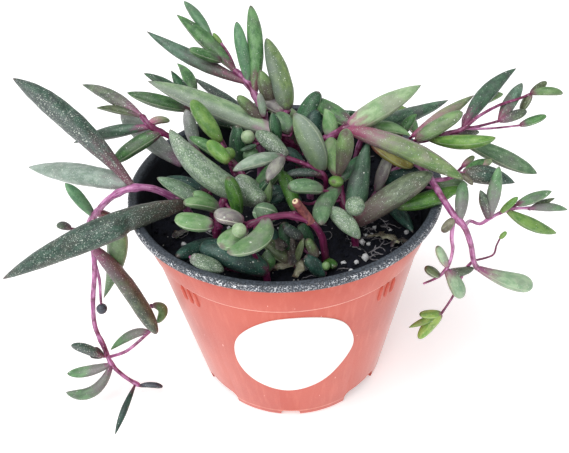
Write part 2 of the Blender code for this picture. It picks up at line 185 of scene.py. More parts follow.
LOOKS = {
    "slate": Look((60, 92, 76), (36, 60, 50), (88, 92, 92), (104, 58, 74), reach=0.36, speckle=1.4,
                  lean=-1.0, rim=0.0, slot="leaf_dark"),
    "dusty": Look((60, 90, 76), (36, 58, 49), (84, 82, 74), (104, 84, 78), wash=0.45, speckle=1.4,
                  rim=0.0, slot="leaf_dark"),
    "teal": Look((46, 86, 74), (22, 52, 44), (50, 62, 66), speckle=0.25, rim=0.0, slot="leaf_dark"),
    "deep": Look((56, 102, 66), (28, 64, 40), (62, 66, 62), speckle=0.2, rim=0.3, slot="leaf_dark"),
    "green": Look((88, 134, 76), (50, 94, 48), (90, 88, 84), wash=0.3),
    "vivid": Look((88, 138, 50), (50, 98, 30), (72, 98, 44), (76, 92, 50), speckle=0.2, rim=0.2,
                  slot="leaf_bright"),
    "bright": Look((124, 162, 80), (80, 128, 48), (108, 130, 68), (112, 126, 66), reach=0.14,
                   speckle=0.15, rim=0.3, slot="leaf_bright"),
    "light": Look((130, 164, 106), (88, 128, 72), (124, 122, 108), (132, 78, 96), wash=0.3, rim=0.3),
    "blush": Look((136, 164, 98), (92, 128, 66), (164, 146, 150), (164, 54, 106), reach=0.42,
                  wash=0.65, lean=-0.3, speckle=0.6, rim=0.2),
    "sage": Look((114, 148, 108), (76, 112, 76), (112, 106, 108), wash=0.25),
    "mint": Look((170, 196, 160), (134, 168, 132), (150, 150, 140), (148, 66, 118), reach=0.45,
                 slot="leaf_pale"),
    "pale": Look((158, 176, 156), (118, 142, 120), (146, 132, 138), (140, 100, 122), rim=0.7,
                 slot="leaf_pale"),
    "silver": Look((120, 148, 118), (74, 106, 76), (100, 104, 104), speckle=1.3, rim=0.7,
                   slot="leaf_pale"),
    "frosted": Look((134, 156, 126), (94, 118, 94), (104, 110, 106), (108, 114, 102), speckle=2.4,
                    rim=0.0, slot="leaf_pale"),
    "edged": Look((130, 162, 114), (92, 136, 80), (156, 150, 150), wash=0.3, speckle=0.1,
                  rim=0.85, slot="leaf_bright"),
    "olive": Look((100, 116, 76), (62, 78, 46), (92, 72, 74), wash=0.4, slot="leaf_dark"),
    "tinted": Look((134, 160, 96), (96, 126, 68), (116, 128, 122), (112, 92, 92), reach=0.16,
                   lean=-1.0, speckle=0.4, rim=0.4),
    "amber": Look((170, 168, 84), (132, 124, 60), (140, 112, 74), (150, 64, 84), reach=0.4,
                  slot="leaf_bright"),
    "plum": Look((120, 150, 92), (84, 114, 66), (112, 86, 94), (112, 74, 88), wash=0.85,
                 speckle=0.7, rim=0.1),
    "rosy": Look((132, 148, 106), (96, 118, 84), (168, 122, 134), (164, 64, 116), reach=0.3,
                 wash=0.8),
    "drab": Look((120, 134, 106), (84, 98, 76), (118, 98, 98), (128, 80, 92), wash=0.55, rim=0.1,
                 speckle=0.8, slot="leaf_pale"),
    "mauve": Look((160, 160, 148), (124, 118, 120), (138, 112, 126), (140, 84, 116), reach=0.25,
                  rim=1.0, rim_color=(222, 218, 206), slot="leaf_pale"),
    "dusk": Look((88, 104, 84), (52, 60, 58), (98, 78, 88), (112, 60, 88), wash=0.7, speckle=0.9,
                 rim=0.0, slot="leaf_dark"),
    "sprout": Look((154, 180, 92), (108, 148, 64), (126, 116, 92), (134, 84, 104),
                   tip_color=(58, 44, 56), slot="leaf_bright"),
    "chalk": Look((172, 190, 178), (132, 154, 140), (146, 156, 148), (150, 150, 148), rim=0.0,
                  speckle=1.2, slot="leaf_pale"),
    "smoke": Look((112, 156, 108), (72, 116, 72), (134, 124, 130), (140, 84, 118), wash=0.85,
                  rim=0.0),
    "pine": Look((80, 116, 90), (50, 82, 62), (100, 94, 100), (146, 62, 108), reach=0.24, wash=0.3,
                 rim=0.0, slot="leaf_dark"),
    "umber": Look((96, 130, 108), (64, 94, 76), (98, 82, 84), (140, 56, 96), reach=0.28, wash=0.7,
                  rim=0.0, slot="leaf_dark"),
    "ridge": Look((152, 180, 136), (112, 144, 104), (138, 146, 138), (166, 140, 150), lean=-1.0,
                  rim=0.4, speckle=0.9, slot="leaf_pale"),
    "leek": Look((104, 148, 92), (66, 112, 62), (108, 106, 100), (124, 66, 84), reach=0.28, rim=0.2),
    "lemon": Look((170, 188, 152), (138, 164, 122), (158, 164, 140), (150, 150, 126), rim=0.0,
                  speckle=0.8, slot="leaf_pale"),
    "milky": Look((166, 192, 148), (132, 166, 118), (150, 142, 138), (170, 90, 130), reach=0.26,
                  slot="leaf_pale"),
    "heather": Look((102, 116, 92), (66, 78, 66), (112, 94, 102), (132, 74, 104), reach=0.3, wash=0.55,
                    speckle=1.0, rim=0.0, slot="leaf_dark"),
    "fog": Look((150, 158, 150), (116, 126, 118), (142, 130, 142), (136, 100, 124), rim=0.0,
                speckle=0.8, slot="leaf_pale"),
    "jade": Look((102, 146, 104), (70, 114, 80), (104, 120, 100), (100, 92, 96), rim=0.2),
    "ash": Look((74, 80, 90), (38, 42, 52), (70, 60, 72), slot="leaf_dark"),
    "dry": Look((150, 148, 124), (92, 84, 68), (84, 76, 64), (104, 84, 70), speckle=0.6,
                slot="leaf_pale"),
    "withered": Look((92, 82, 74), (44, 38, 40), (70, 46, 56), (66, 40, 52), speckle=0.4,
                     slot="leaf_dark"),
}

# Stems that leave the soil: radius at the root and at the tip, how pale it is from 0 to 1, and
# the route that the stem grows along
SOIL_STEMS = {
    "left_trailing": (1.0, 0.62, 0.75, (
        (-29, -7, 71), (-33, -10, 79), (-36, -13, 86), (-41, -15, 91), (-46, -17, 93),
        (-51, -18, 92), (-56, -17, 88), (-60, -15, 83), (-65, -12, 76), (-67, -10, 64),
        (-69, -11, 53), (-72, -13, 41), (-73, -16, 31), (-71, -19, 23), (-69, -22, 16),
        (-65, -24, 11), (-60, -26, 8))),
    "back_left": (0.9, 0.7, 0.5, (
        (-23, 11, 71), (-25, 10, 80), (-30, 8, 90), (-35, 5, 96), (-42, 4, 102), (-45, 7, 104))),
    "back": (0.9, 0.7, 0.3, (
        (-18, 20, 71), (-22, 26, 80), (-27, 32, 87), (-32, 36, 90), (-34, 43, 91))),
    "top": (1.2, 0.85, 0.65, (
        (-9, 16, 71), (-8, 17, 82), (-7, 19, 90), (-6, 20, 95), (-7, 20, 98),
        (-9, 23, 102), (-11, 26, 105), (-15, 29, 108))),
    "behind": (1.2, 0.9, 0.2, (
        (6, 16, 71), (5, 14, 82), (3, 9, 90), (-1, 7, 95), (0, 12, 98), (2, 16, 99))),
    "core": (1.1, 0.8, 0.2, (
        (-6, -8, 71), (-8, -13, 79), (-10, -15, 85), (-13, -9, 90), (-18, -2, 93))),
    "thin": (0.7, 0.55, 0.1, (
        (13, -9, 71), (13, -9, 80), (13, -11, 88.5), (10.6, -10.7, 92), (5, -11, 95.5), (0.2, -10, 97))),
    "mid_right": (1.1, 0.9, 0.15, (
        (22, -22, 71), (21, -20, 77), (18, -15, 83), (17, -10, 89))),
    "back_right": (1.2, 1.0, 0.4, (
        (9, 5, 71), (9, 5, 82), (11, 4, 92), (16, 1, 97), (20, 0, 100), (24, 0, 101))),
    "front": (1.05, 0.75, 0.0, (
        (12, -28, 71), (11, -31, 77), (10, -32, 83), (7, -33, 89), (1, -33, 92),
        (-6, -34, 92), (-11, -34, 90))),
    "front_left": (0.8, 0.6, 0.0, ((-6, -38, 71), (-8, -37, 77), (-12, -35, 80))),
    "mid_left": (1.1, 0.9, 0.15, (
        (-23, -20, 71), (-22, -22, 79), (-21, -20, 84), (-19, -19, 88))),
    "right_trailing": (1.1, 0.65, 0.65, (
        (30, 0, 71), (33, -2, 80), (37, -4, 86), (41, -6, 90), (43, -10, 91),
        (45, -15, 90), (47, -21, 88), (50, -28, 85), (53, -30, 82), (56, -30, 75),
        (58, -30, 68), (60, -29, 64))),
    "right_raised": (0.8, 0.3, 0.45, (
        (36, 8, 71), (38, 8, 80), (42, 7, 88), (48, 3, 93), (54, 1, 96), (58, 0, 98),
        (63, 2, 101), (70, 5, 103), (77, 7, 104), (81, 8, 105))),
    "low_front": (0.7, 0.5, 0.0, ((2, -31, 70), (3, -30, 73), (4, -29, 76))),
    "inner_left": (0.8, 0.6, 0.1, ((-26, -2, 71), (-25, -5, 78), (-25, -6, 82))),
    "inner_right": (0.9, 0.7, 0.2, ((20, 24, 71), (18, 24, 82), (15, 26, 89), (12, 27, 92))),
    "rear_left": (0.9, 0.7, 0.3, ((-8, 34, 71), (-12, 38, 76), (-17, 42, 79), (-22, 46, 80))),
    "rear_middle": (1.0, 0.8, 0.3, ((8, 32, 71), (9, 37, 75), (10, 41, 78), (9, 45, 80))),
    "rear_right": (1.0, 0.7, 0.4, (
        (26, 22, 71), (29, 27, 78), (34, 31, 84), (39, 35, 86), (44, 39, 84), (47, 43, 79))),
}

# Side stems: the stem and the place on its route that each one grows from, then the same values
SIDE_STEMS = {
    "right_hanging": ("right_trailing", 7, 0.55, 0.3, 0.7, (
        (49, -32, 80), (50, -32, 75), (50, -31, 68), (48, -30, 62), (44, -28, 57))),
    "right_low": ("right_trailing", 10, 0.45, 0.3, 0.5, (
        (57, -27, 61), (55, -27, 50), (52, -27, 41))),
    "right_outer": ("right_trailing", 8, 0.5, 0.35, 0.75, (
        (57.3, -22.4, 78), (60.2, -23.5, 77.5), (63.6, -22.1, 78.5), (67.2, -20.4, 79),
        (71.2, -19.3, 79.5), (77.2, -18.6, 79))),
    "left_twig": ("left_trailing", 13.6, 0.55, 0.5, 0.7, (
        (-64, -18, 18), (-59, -15, 20), (-55, -12, 22))),
    "left_bud": ("left_trailing", 9.5, 0.5, 0.4, 0.7, (
        (-68, -11, 50), (-69, -12, 43), (-69, -14, 40))),
    "right_wire": ("right_trailing", 10, 0.3, 0.18, 0.3, (
        (64, -29, 69), (65, -28, 72), (66, -27, 74))),
    "right_upper_fork": ("right_raised", 5, 0.5, 0.3, 0.3, ((63, 1, 98), (70, 2, 99))),
    "right_lower_fork": ("right_raised", 5, 0.4, 0.25, 0.5, ((67, 1, 97), (77, 2, 97))),
    "right_fan": ("right_trailing", 5.2, 0.6, 0.45, 0.5, (
        (50, -16, 90), (53, -15.5, 91), (55, -15, 91))),
    "top_twig": ("top", 5, 0.5, 0.4, 0.8, ((-17.7, 36.9, 106), (-20.7, 41.1, 107))),
    "front_twig": ("front_left", 0.6, 0.5, 0.3, 0.1, ((-18, -36, 75), (-24, -38, 79), (-25, -39.7, 82))),
    "soil_twig": ("front", 5.4, 0.5, 0.5, 0.0, ((-10.3, -37.2, 84), (-8.5, -36.5, 77), (-6.5, -36.2, 70))),
    "centre_twig": ("behind", 3, 0.6, 0.5, 0.3, ((-6, 9, 93), (-10, 8, 93))),
    "left_petiole": ("left_twig", 3, 0.4, 0.35, 0.4, ((-54.2, -9.9, 29), (-52.9, -8.6, 33))),
}

# Every leaf, by the stem that it grows on
LEAVES = {
    "left_trailing": {
        "left_raised": Leaf(4, (-86, 15, 116), 7, "slate", (0, 2.4, 2.5), shape=(-0.1, 0.3, 0.55)),
        "left_pale": Leaf(5, (-90, 12, 84), 7.3, "chalk", (0, 0.3, 0.3),
            foot=(-47.3, -14.8, 93), shape=(-0.35, 1.0, 0.5)),
        "left_drooping": Leaf(2, (-91, -28, 68), 8.6, "dusty", (4.1, -5.0, 7.7),
            foot=(-30.7, -15.8, 85), shape=(-0.15, 0.8, 0.5)),
        "left_hanging": Leaf(7, (-71, -6, 35), 7.2, "leek", (6, 4, 4)),
        "left_dark": Leaf(9, (-50.1, -18.7, 28), 6.4, "heather", (0, 2, 2), shape=(1.0, 0.9, 0.7)),
        "low_front": Leaf(14, (-87, -28, 8), 4, "smoke", (2.4, -4.4, -2), shape=(0.3, 0.8, 0.6)),
        "low_side": Leaf(14, (-86, -24, 14), 4.2, "smoke", (0, 0, -1), shape=(0.4, 0.6, 0.6)),
        "left_small": Leaf(7.4, (-69, -11, 92), 3.8, "jade", (0, 0, 1), shape=(-0.3, 0.9, 0.55)),
        "left_folded": Leaf(8.2, (-72.9, -17.9, 80), 2.9, "dusk", (0, 0, 1), foot=(-69.3, -16.7, 78)),
        "low_outer": Leaf(13.4, (-81.7, -21.2, 27), 3.6, "slate", (0, 0, 1), foot=(-70.6, -22.6, 21)),
        "low_hanging": Leaf(15.8, (-66.3, -44.1, 3), 2.4, "teal", (0, -1, 1)),
        "low_dried": Leaf(-1, (-50.8, -25.5, 5), 2.2, "ash", (0, 0, 1),
            foot=(-60.1, -24.9, 5.5), shape=(1.0, 1.0, 0.6)),
        "low_bud_1": Leaf(13, (-73.4, -21, 25), 1.8, "withered", foot=(-70.6, -22.6, 21)),
        "low_bud_2": Leaf(12.7, (-75.6, -22.6, 22), 1.8, "withered", foot=(-71, -22.6, 21)),
    },
    "back_left": {
        "back_left_long": Leaf(-1, (-68, 25, 108), 4.6, "heather", (0, 1, 1)),
        "back_left_side": Leaf(4, (-70.3, 8.2, 95), 4.6, "pine", (0, 0, 1)),
        "back_left_grey": Leaf(1, (-56, 22, 98), 7, "fog", (-2, 1, 1), foot=(-34.9, 7.8, 84)),
        "back_left_bright": Leaf(3.6, (-56, -1, 92), 5.5, "green", (0, 0, 1)),
        "back_left_thin": Leaf(5, (-62, 15, 104), 3.0, "olive", (0, 0, 1)),
        "back_left_bud": Leaf(4.2, (-37, 9, 101), 2.8, "rosy", (0, 0, 1)),
        "back_left_inner": Leaf(1.9, (-32, 15, 102), 4.1, "fog"),
    },
    "back": {
        "back_dark": Leaf(3, (-58, 42, 96), 5.6, "green", (0, -2, 1)),
        "back_point": Leaf(4, (-41, 62, 98), 4.6, "green", (2, 0, 1), shape=(-0.7, 0.8, 0.45)),
        "back_green": Leaf(3, (-40, 42, 104), 4.4, "deep", shape=(-0.5, 0.9, 0.5)),
        "back_upper": Leaf(3.8, (-51, 45, 102), 4.2, "deep", (0, 0, 1)),
    },
    "top": {
        "behind_dark": Leaf(2, (-34.6, 54.9, 95), 4.8, "slate", (1, 0, 0)),
        "top_upper": Leaf(-1, (-36, 49, 122), 5.4, "green", (0, 0, 1)),
        "top_lower": Leaf(6, (-47, 45, 118), 5.4, "umber", (-1, 0, -1)),
        "top_upright": Leaf(5, (-9, 46, 125), 5, "leek", (1, 0, 1), shape=(0.5, 0.8, 0.5)),
        "top_far": Leaf(7, (-33.7, 56.3, 124.2), 3.8, "jade", (0, 0, 1),
            foot=(-23.2, 38.7, 116), shape=(0.0, 0.7, 0.5)),
        "top_slim": Leaf(5.9, (-14, 39, 122), 4, "jade", (0, 0, 1), shape=(0.5, 0.9, 0.5)),
        "top_right": Leaf(3.6, (-6.4, 20.8, 112), 5.6, "plum",
            foot=(-3.1, 19.4, 100), shape=(0.0, 0.8, 0.5)),
        "top_bud": Leaf(-1, (-22.7, 39.9, 118), 1.7, "bright", foot=(-19.7, 37.1, 115)),
        "top_small_1": Leaf(2.4, (-14.4, 14.7, 106), 4.2, "plum", foot=(-6.6, 12.8, 98)),
        "top_small_2": Leaf(2.6, (-7, 14.1, 107), 2.6, "pale", foot=(-5.9, 12.3, 99)),
    },
    "behind": {
        "long_pale": Leaf(3, (-48, 36, 103), 7.8, "ridge", (0, 1, 0), shape=(-0.3, 0.9, 0.5)),
        "back_broad": Leaf(-1, (-4, 38, 116), 6.8, "tinted", (1, -4, 1), shape=(0.5, 1.0, 0.4)),
        "centre_back": Leaf(3, (-2.9, 0.6, 107), 4, "deep", foot=(-1.2, -1, 97), shape=(-0.2, 0.6, 0.55)),
        "middle_back_low": Leaf(1.9, (13, 15, 106), 6.6, "deep", (0, 0, 1)),
        "centre_dark": Leaf(1.5, (-18, 16, 94), 6.6, "deep", (0, 0, 1)),
        "centre_green": Leaf(2.2, (-1, 13, 100), 5.6, "green"),
        "centre_grey": Leaf(3, (-1.4, 10.9, 101), 5.4, "sage", foot=(3.2, 4.3, 97)),
        "top_mauve": Leaf(-1, (-6.4, 21.7, 102), 4.6, "mauve", foot=(0.9, 14.4, 99)),
    },
    "core": {
        "centre_bright": Leaf(-1, (-29.3, 13.4, 106), 5.4, "bright", (0, -1, 1), foot=(-20.1, 1.8, 96)),
        "centre_speckled": Leaf(2, (-34, -7, 107), 8.4, "frosted", (-2.6, -5.2, 1),
            foot=(-7.5, -13.9, 83), shape=(0.2, 1.0, 0.5)),
        "front_end_on": Leaf(1, (-8.3, -31.1, 93), 6.4, "sage", (0, -2, 2), foot=(-4.6, -25.7, 86)),
        "centre_left": Leaf(3.4, (-30, 0, 100), 4.2, "green", (0, 0, 1)),
        "centre_low": Leaf(3.9, (-23.5, -3.2, 100), 4.6, "bright", foot=(-17, -10.3, 96)),
        "centre_inner": Leaf(1.9, (-5, -18, 94), 4.0, "deep"),
        "centre_slope": Leaf(2.4, (-0.6, -4.1, 91), 6.4, "green", (0, 0, 1), foot=(-10.2, -11.3, 82)),
        "middle_silver": Leaf(2, (-5.3, -17.2, 94), 4, "light", foot=(-6.2, -17.8, 85)),
        "middle_teal": Leaf(1.2, (1, -14, 86), 5.4, "teal", (0, 0, 1)),
        "centre_teal": Leaf(1, (-14.8, 11.3, 97), 6, "deep", foot=(-16.6, 8.4, 80)),
        "centre_purple": Leaf(2, (-14.7, -13.3, 93), 6.2, "frosted", foot=(-6.6, -21.2, 88)),
    },
    "thin": {
        "centre_broad": Leaf(5, (-8, -0.9, 101), 5.2, "frosted", (0, -1, 1),
            foot=(1.1, -10.1, 97), shape=(0.9, 0.9, 0.5)),
        "centre_pale": Leaf(-1, (-15, -21, 100), 4.4, "pale", (0, -1, 2)),
        "centre_tall": Leaf(3, (3.8, -6.3, 110), 7.8, "tinted", (1, -2, 1),
            foot=(11.7, -8.3, 90), shape=(0.2, 0.8, 0.55)),
        "centre_small": Leaf(5, (-5, -24, 98), 3.7, "mauve", (0, 0, 1)),
        "centre_gap": Leaf(2, (0, 0.5, 93), 4.2, "teal", (0, 0, 1), foot=(6.2, -2.5, 88)),
        "middle_arch": Leaf(2.4, (-0.1, -12.5, 92), 3, "slate", (0, 0, 1)),
        "centre_filler": Leaf(1, (-4.4, -11.6, 87), 5, "teal", foot=(5, -11.5, 80)),
    },
    "mid_right": {
        "middle_oval": Leaf(2, (0.9, -23.8, 95), 4.9, "sage", (0, 0, 1),
            foot=(11.3, -18.7, 90), shape=(1.0, 1.0, 0.5)),
        "right_upright": Leaf(-1, (18, -17, 109), 5.8, "plum", (1, 1, 0), shape=(0.9, 0.5, 0.68)),
        "right_standing": Leaf(1, (27.2, -4.1, 98), 6.2, "pine", (-1, -1, 0), shape=(-0.2, 1.0, 0.4)),
        "right_long": Leaf(1, (45.7, -15.4, 92), 8.0, "drab", (1, -1, 3), shape=(0.3, 1.0, 0.5)),
        "middle_bud": Leaf(2.7, (15, -16, 91), 4.2, "bright"),
        "middle_speckled": Leaf(2, (21.6, -32, 81), 5.2, "frosted", (0, 0, 1),
            foot=(13.1, -23.2, 86), shape=(0.2, 0.9, 0.5)),
        "middle_down": Leaf(2.5, (10, -33, 88), 5.1, "sage", (-2, 0, 0), shape=(0.8, 1.0, 0.5)),
        "right_under": Leaf(1, (54.7, -17.4, 88), 5.4, "vivid", (0, 0, -1),
            foot=(34.5, -18.6, 82), shape=(0.0, 0.8, 0.5)),
        "middle_yellow": Leaf(2.9, (16, 0, 97), 5.0, "light", (-1, 0, 1)),
        "middle_shade": Leaf(2.7, (26, -4, 92), 4.6, "deep"),
        "right_shade": Leaf(1.8, (34.8, -2.7, 93), 4.2, "mauve", foot=(30.2, -6.1, 79)),
    },
    "back_right": {
        "right_back_light": Leaf(-1, (46, 12, 108), 7.4, "milky", (0, -1, 1),
            foot=(21, -0.1, 100), shape=(-0.4, 1.0, 0.4)),
        "right_purple": Leaf(4, (53.3, -22.7, 94), 6.4, "blush", (0, 1, 1.5), shape=(0.1, 0.8, 0.55)),
        "right_back_dark": Leaf(3, (57, 16, 100), 5.8, "pine", (4, 5, -3)),
        "middle_back": Leaf(4.6, (10.6, 17, 102), 5.8, "green", (0, 1, 0)),
        "middle_back_right": Leaf(2.8, (14, 7, 104), 4.8, "edged", (1, 0, 0), shape=(-0.4, 1.0, 0.45)),
        "right_inner": Leaf(5, (41.3, -8.6, 90), 5.8, "amber", foot=(28.1, -3.1, 97)),
        "middle_back_teal": Leaf(2, (12, 10, 102), 5.4, "teal", (-1, 0, 0)),
        "right_back_low": Leaf(4.4, (41.6, 0.4, 96), 4.4, "edged", (0, 2, 1),
            foot=(27.3, 3.2, 97), shape=(-0.3, 0.8, 0.45)),
    },
    "front": {
        "front_banana": Leaf(5, (-16, -50, 94), 5.4, "edged", (3, -1, -1), shape=(0.9, 0.9, 0.5)),
        "front_mauve": Leaf(6, (-19.9, -36.8, 96), 4.9, "mauve", (0, 0, 1),
            foot=(-12.7, -33.7, 91), shape=(1.0, 1.0, 0.5)),
        "front_under": Leaf(6, (-18.1, -42.7, 90), 5.4, "edged", (-1, -1, 0),
            foot=(-11.7, -34.1, 89), shape=(1.0, 1.0, 0.5)),
        "front_sprout_3": Leaf(0.4, (14, -35, 73), 3.2, "vivid"),
        "middle_broad": Leaf(3.8, (-1.6, -11.1, 93), 4.2, "vivid", (0.8, 0, 0.5), foot=(2.7, -21.3, 84)),
    },
    "front_left": {
        "front_dark": Leaf(0.7, (-25.9, -32.9, 82), 8, "teal", (0, -1, 2),
            foot=(-6.3, -36.9, 74), shape=(1.0, 1.0, 0.55)),
        "low_diamond": Leaf(0.5, (-6.3, -32.2, 79), 4.2, "green",
            foot=(-6.1, -34.4, 72), shape=(-0.9, 0.9, 0.5)),
    },
    "mid_left": {
        "middle_upright": Leaf(-1, (-16.3, -23.9, 100), 4.9, "vivid", (0.6, 0, 0),
            foot=(-14.6, -24.4, 86), shape=(1.0, 0.9, 0.6)),
        "front_left": Leaf(2, (-39, -15, 95), 4.8, "silver", (0, 0, 1)),
        "front_curved": Leaf(1, (-32.6, -28.6, 90), 5.6, "edged", (0, -1, 0),
            foot=(-21.5, -29, 87), shape=(1.0, 1.0, 0.5)),
        "front_bud": Leaf(2.3, (-28, -20, 92), 3.4, "edged", (0, 0, 1)),
        "front_oval": Leaf(2.3, (-30, -26, 93), 4.2, "edged", (0, 0, 1)),
        "front_low": Leaf(0.6, (-33, -35, 80), 5.4, "teal"),
    },
    "right_trailing": {
        "trailing_end": Leaf(-1, (79, -30, 56), 6.2, "mint", (0, 0, -1), shape=(1.0, 0.3, 0.78)),
        "right_over": Leaf(7.5, (53.5, -20.9, 92), 3.5, "smoke", (0, 0, 1)),
        "right_teal": Leaf(1, (44, -8, 88), 6.2, "teal", (0, 0, 1)),
        "right_low_dark": Leaf(0.5, (40, -22, 74), 4.6, "teal", (1, 0, 1)),
    },
    "right_raised": {
        "right_upper": Leaf(5, (80, 21, 108), 5.2, "pine", (-1, 1.5, 1)),
        "right_bright": Leaf(3, (66, -8, 99), 5.0, "bright", (0, -4, 1)),
        "right_spread": Leaf(4, (81, -10, 86), 5.8, "sage", (3, -1, -1)),
        "right_behind": Leaf(2.3, (44.5, 7.4, 100), 3.6, "green", (0, 0, 1),
            foot=(39.4, 5.3, 94), shape=(-0.6, 1.0, 0.35)),
        "raised_1": Leaf(2.2, (64.3, 12.9, 103), 4.4, "rosy", foot=(42.3, 3.1, 94)),
        "raised_2": Leaf(2.8, (57.7, 1.9, 103), 5.2, "light", foot=(42.8, -0.5, 95)),
        "raised_3": Leaf(4.2, (65, 4, 94), 2.9, "heather"),
        "raised_4": Leaf(5, (74.6, 14.5, 102), 2.9, "light", (0, 0, 1), foot=(64.5, 11.4, 99)),
        "raised_8": Leaf(-1, (87, 12, 107), 2.6, "olive"),
        "raised_9": Leaf(-1, (90, 5, 106), 2.9, "light", (0, 0, 1)),
        "raised_10": Leaf(-1, (79, 8, 99), 3.0, "olive"),
        "right_cover": Leaf(2, (58.7, -11.5, 84), 6.4, "leek", (0, 0, 0.5),
            foot=(48.2, -10.6, 82), shape=(-0.2, 1.0, 0.5)),
    },
    "low_front": {
        "low_leaf_1": Leaf(-1, (-1.1, -25.9, 84), 4.4, "deep", foot=(0.9, -28.9, 74)),
        "low_leaf_2": Leaf(-1, (-7.7, -28.2, 80), 4.6, "olive", foot=(0.7, -32.8, 73)),
        "low_leaf_3": Leaf(1, (1.5, -29.4, 84), 1.9, "withered", foot=(1.6, -33.2, 72)),
        "low_leaf_4": Leaf(1, (4.9, -31.5, 82), 2.4, "olive", foot=(1.6, -33.2, 72)),
        "low_leaf_5": Leaf(-1, (-1.1, -30.3, 86), 3.6, "slate", foot=(4.4, -29.1, 80)),
        "low_leaf_6": Leaf(-1, (5.8, -32, 82), 3.6, "plum", foot=(8.7, -32.4, 75)),
        "low_leaf_7": Leaf(1, (5, -33.9, 77), 4.6, "teal", foot=(10.9, -35.7, 70)),
        "low_leaf_8": Leaf(-1, (-7, -24.9, 82), 5, "teal", foot=(-1.3, -28.3, 74)),
        "low_leaf_9": Leaf(-1, (4, -26, 83), 4.6, "deep", foot=(7.1, -28.4, 76)),
    },
    "inner_left": {
        "front_teal": Leaf(-1, (-40, -3, 86), 4.6, "teal", (0, 0, 1)),
    },
    "inner_right": {
        "middle_back_slim": Leaf(1.9, (26, 10, 100), 3.2, "deep", (0, 0, 1)),
        "middle_back_sage": Leaf(3, (12.2, 16.1, 99), 5, "sage", (0, 0, 1), foot=(11, 9.4, 92)),
        "rear_15": Leaf(2, (28, 18, 91), 4.8, "mauve", (0, 0, 1)),
        "rear_16": Leaf(1.5, (6, 34, 88), 4.6, "teal", (0, 0, 1)),
    },
    "rear_left": {
        "rear_1": Leaf(3, (-36, 52, 84), 5.0, "green", (0, 0, 2)),
        "rear_2": Leaf(3, (-24, 60, 76), 5.4, "slate", (0, 1, 2)),
        "rear_3": Leaf(2, (-4, 56, 80), 5.2, "sage", (0, 0, 3)),
        "rear_4": Leaf(1.4, (-32, 38, 84), 4.6, "deep", (0, 0, 2)),
    },
    "rear_middle": {
        "rear_5": Leaf(3, (8, 57, 72), 6.2, "dusty", (0, 1, 2)),
        "rear_6": Leaf(3, (22, 51, 74), 5.0, "green", (0, 0, 2)),
        "rear_7": Leaf(2, (-8, 50, 82), 5.0, "light", (0, 0, 3)),
        "rear_8": Leaf(1.6, (20, 42, 80), 5.4, "olive", (0, 0, 2)),
    },
    "rear_right": {
        "rear_9": Leaf(5, (54, 56, 70), 5.2, "sage", (0, 0, 2)),
        "rear_10": Leaf(4, (52, 34, 76), 5.2, "green", (0, 0, 3)),
        "rear_11": Leaf(3, (34, 50, 74), 5.4, "slate", (0, 0, 3)),
        "rear_12": Leaf(2.4, (42, 26, 84), 4.8, "mauve", (0, 0, 2)),
        "rear_13": Leaf(1.5, (26, 40, 82), 4.6, "blush", (0, 0, 1)),
        "rear_14": Leaf(3.4, (46, 30, 88), 4.2, "bright", (0, 0, 1)),
    },
    "right_hanging": {
        "right_nub": Leaf(0.2, (46, -32, 82), 2.7, "dry"),
        "hanging_1": Leaf(3.4, (55, -34, 56), 5, "mint", (0, 0, 1), shape=(1.0, 0.6, 0.7)),
        "hanging_2": Leaf(3.2, (46, -29, 74), 3.1, "mint", shape=(1.0, 0.9, 0.5)),
        "hanging_3": Leaf(4.0, (43, -30, 66), 3.2, "olive"),
        "hanging_4": Leaf(3.6, (59, -29, 64), 2.9, "heather", (0, 0, -1)),
    },
    "right_low": {
        "trailing_1": Leaf(-1, (44, -28, 42), 3.1, "sprout"),
        "trailing_2": Leaf(-1, (40, -31, 39), 2.4, "sprout"),
        "trailing_3": Leaf(-1, (44, -31, 33), 4, "sprout", (0, 0, 1)),
    },
    "right_outer": {
        "outer_low": Leaf(4.6, (87, -21, 70), 4.2, "bright", (-1, -1, 0)),
        "outer_1": Leaf(3, (64.1, -19.2, 96), 3.8, "smoke"),
        "outer_2": Leaf(2.8, (59.5, -19.9, 88), 3.4, "dusk", (0, 0, 1), shape=(-0.6, 0.7, 0.5)),
        "outer_3": Leaf(5, (83.6, -16.9, 84), 3.4, "sage", foot=(72.8, -18, 80), shape=(0.0, 0.8, 0.5)),
        "outer_4": Leaf(4, (72.2, -19.1, 84), 2.2, "bright"),
        "outer_5": Leaf(6, (86.1, -15.4, 80), 1.9, "olive"),
        "outer_6": Leaf(6, (90.7, -16.8, 76), 2.9, "smoke", (0, 0, 1), foot=(76.4, -19.1, 79)),
    },
    "left_twig": {
        "low_inner": Leaf(-1, (-70, -17, 18), 3.7, "smoke", (0, 1.6, 1.2), shape=(-0.2, 0.7, 0.5)),
    },
    "right_wire": {
        "wire_bud": Leaf(-1, (68, -26, 76), 1.5, "bright"),
    },
    "right_upper_fork": {
        "raised_5": Leaf(-1, (80, 14, 106), 4, "umber"), "raised_6": Leaf(-1, (80, 6, 100), 3.4, "heather"),
    },
    "right_lower_fork": {
        "raised_7": Leaf(-1, (86, 4, 99), 2.9, "green"),
    },
    "right_fan": {
        "right_fan_long": Leaf(-1, (71.8, -15.8, 87), 6, "dusty", (0, 0, 1),
            foot=(55.3, -13.8, 90), shape=(-0.4, 1.0, 0.42)),
        "right_fan_short": Leaf(-1, (66, -7, 90), 2.8, "green", (0, 0, 1)),
        "right_fan_bud": Leaf(2, (57, -20, 90), 2.0, "dry", (0, 0, 1)),
        "fan_rose_1": Leaf(2, (60.6, -7, 92), 2.2, "rosy", foot=(56.3, -10, 90)),
        "fan_rose_2": Leaf(3, (65.5, -9.8, 92), 2.4, "rosy", foot=(60, -11.4, 90)),
    },
    "top_twig": {
        "top_side": Leaf(-1, (-30.3, 29.2, 117), 4, "green", foot=(-19.8, 31.9, 111)),
    },
    "front_twig": {
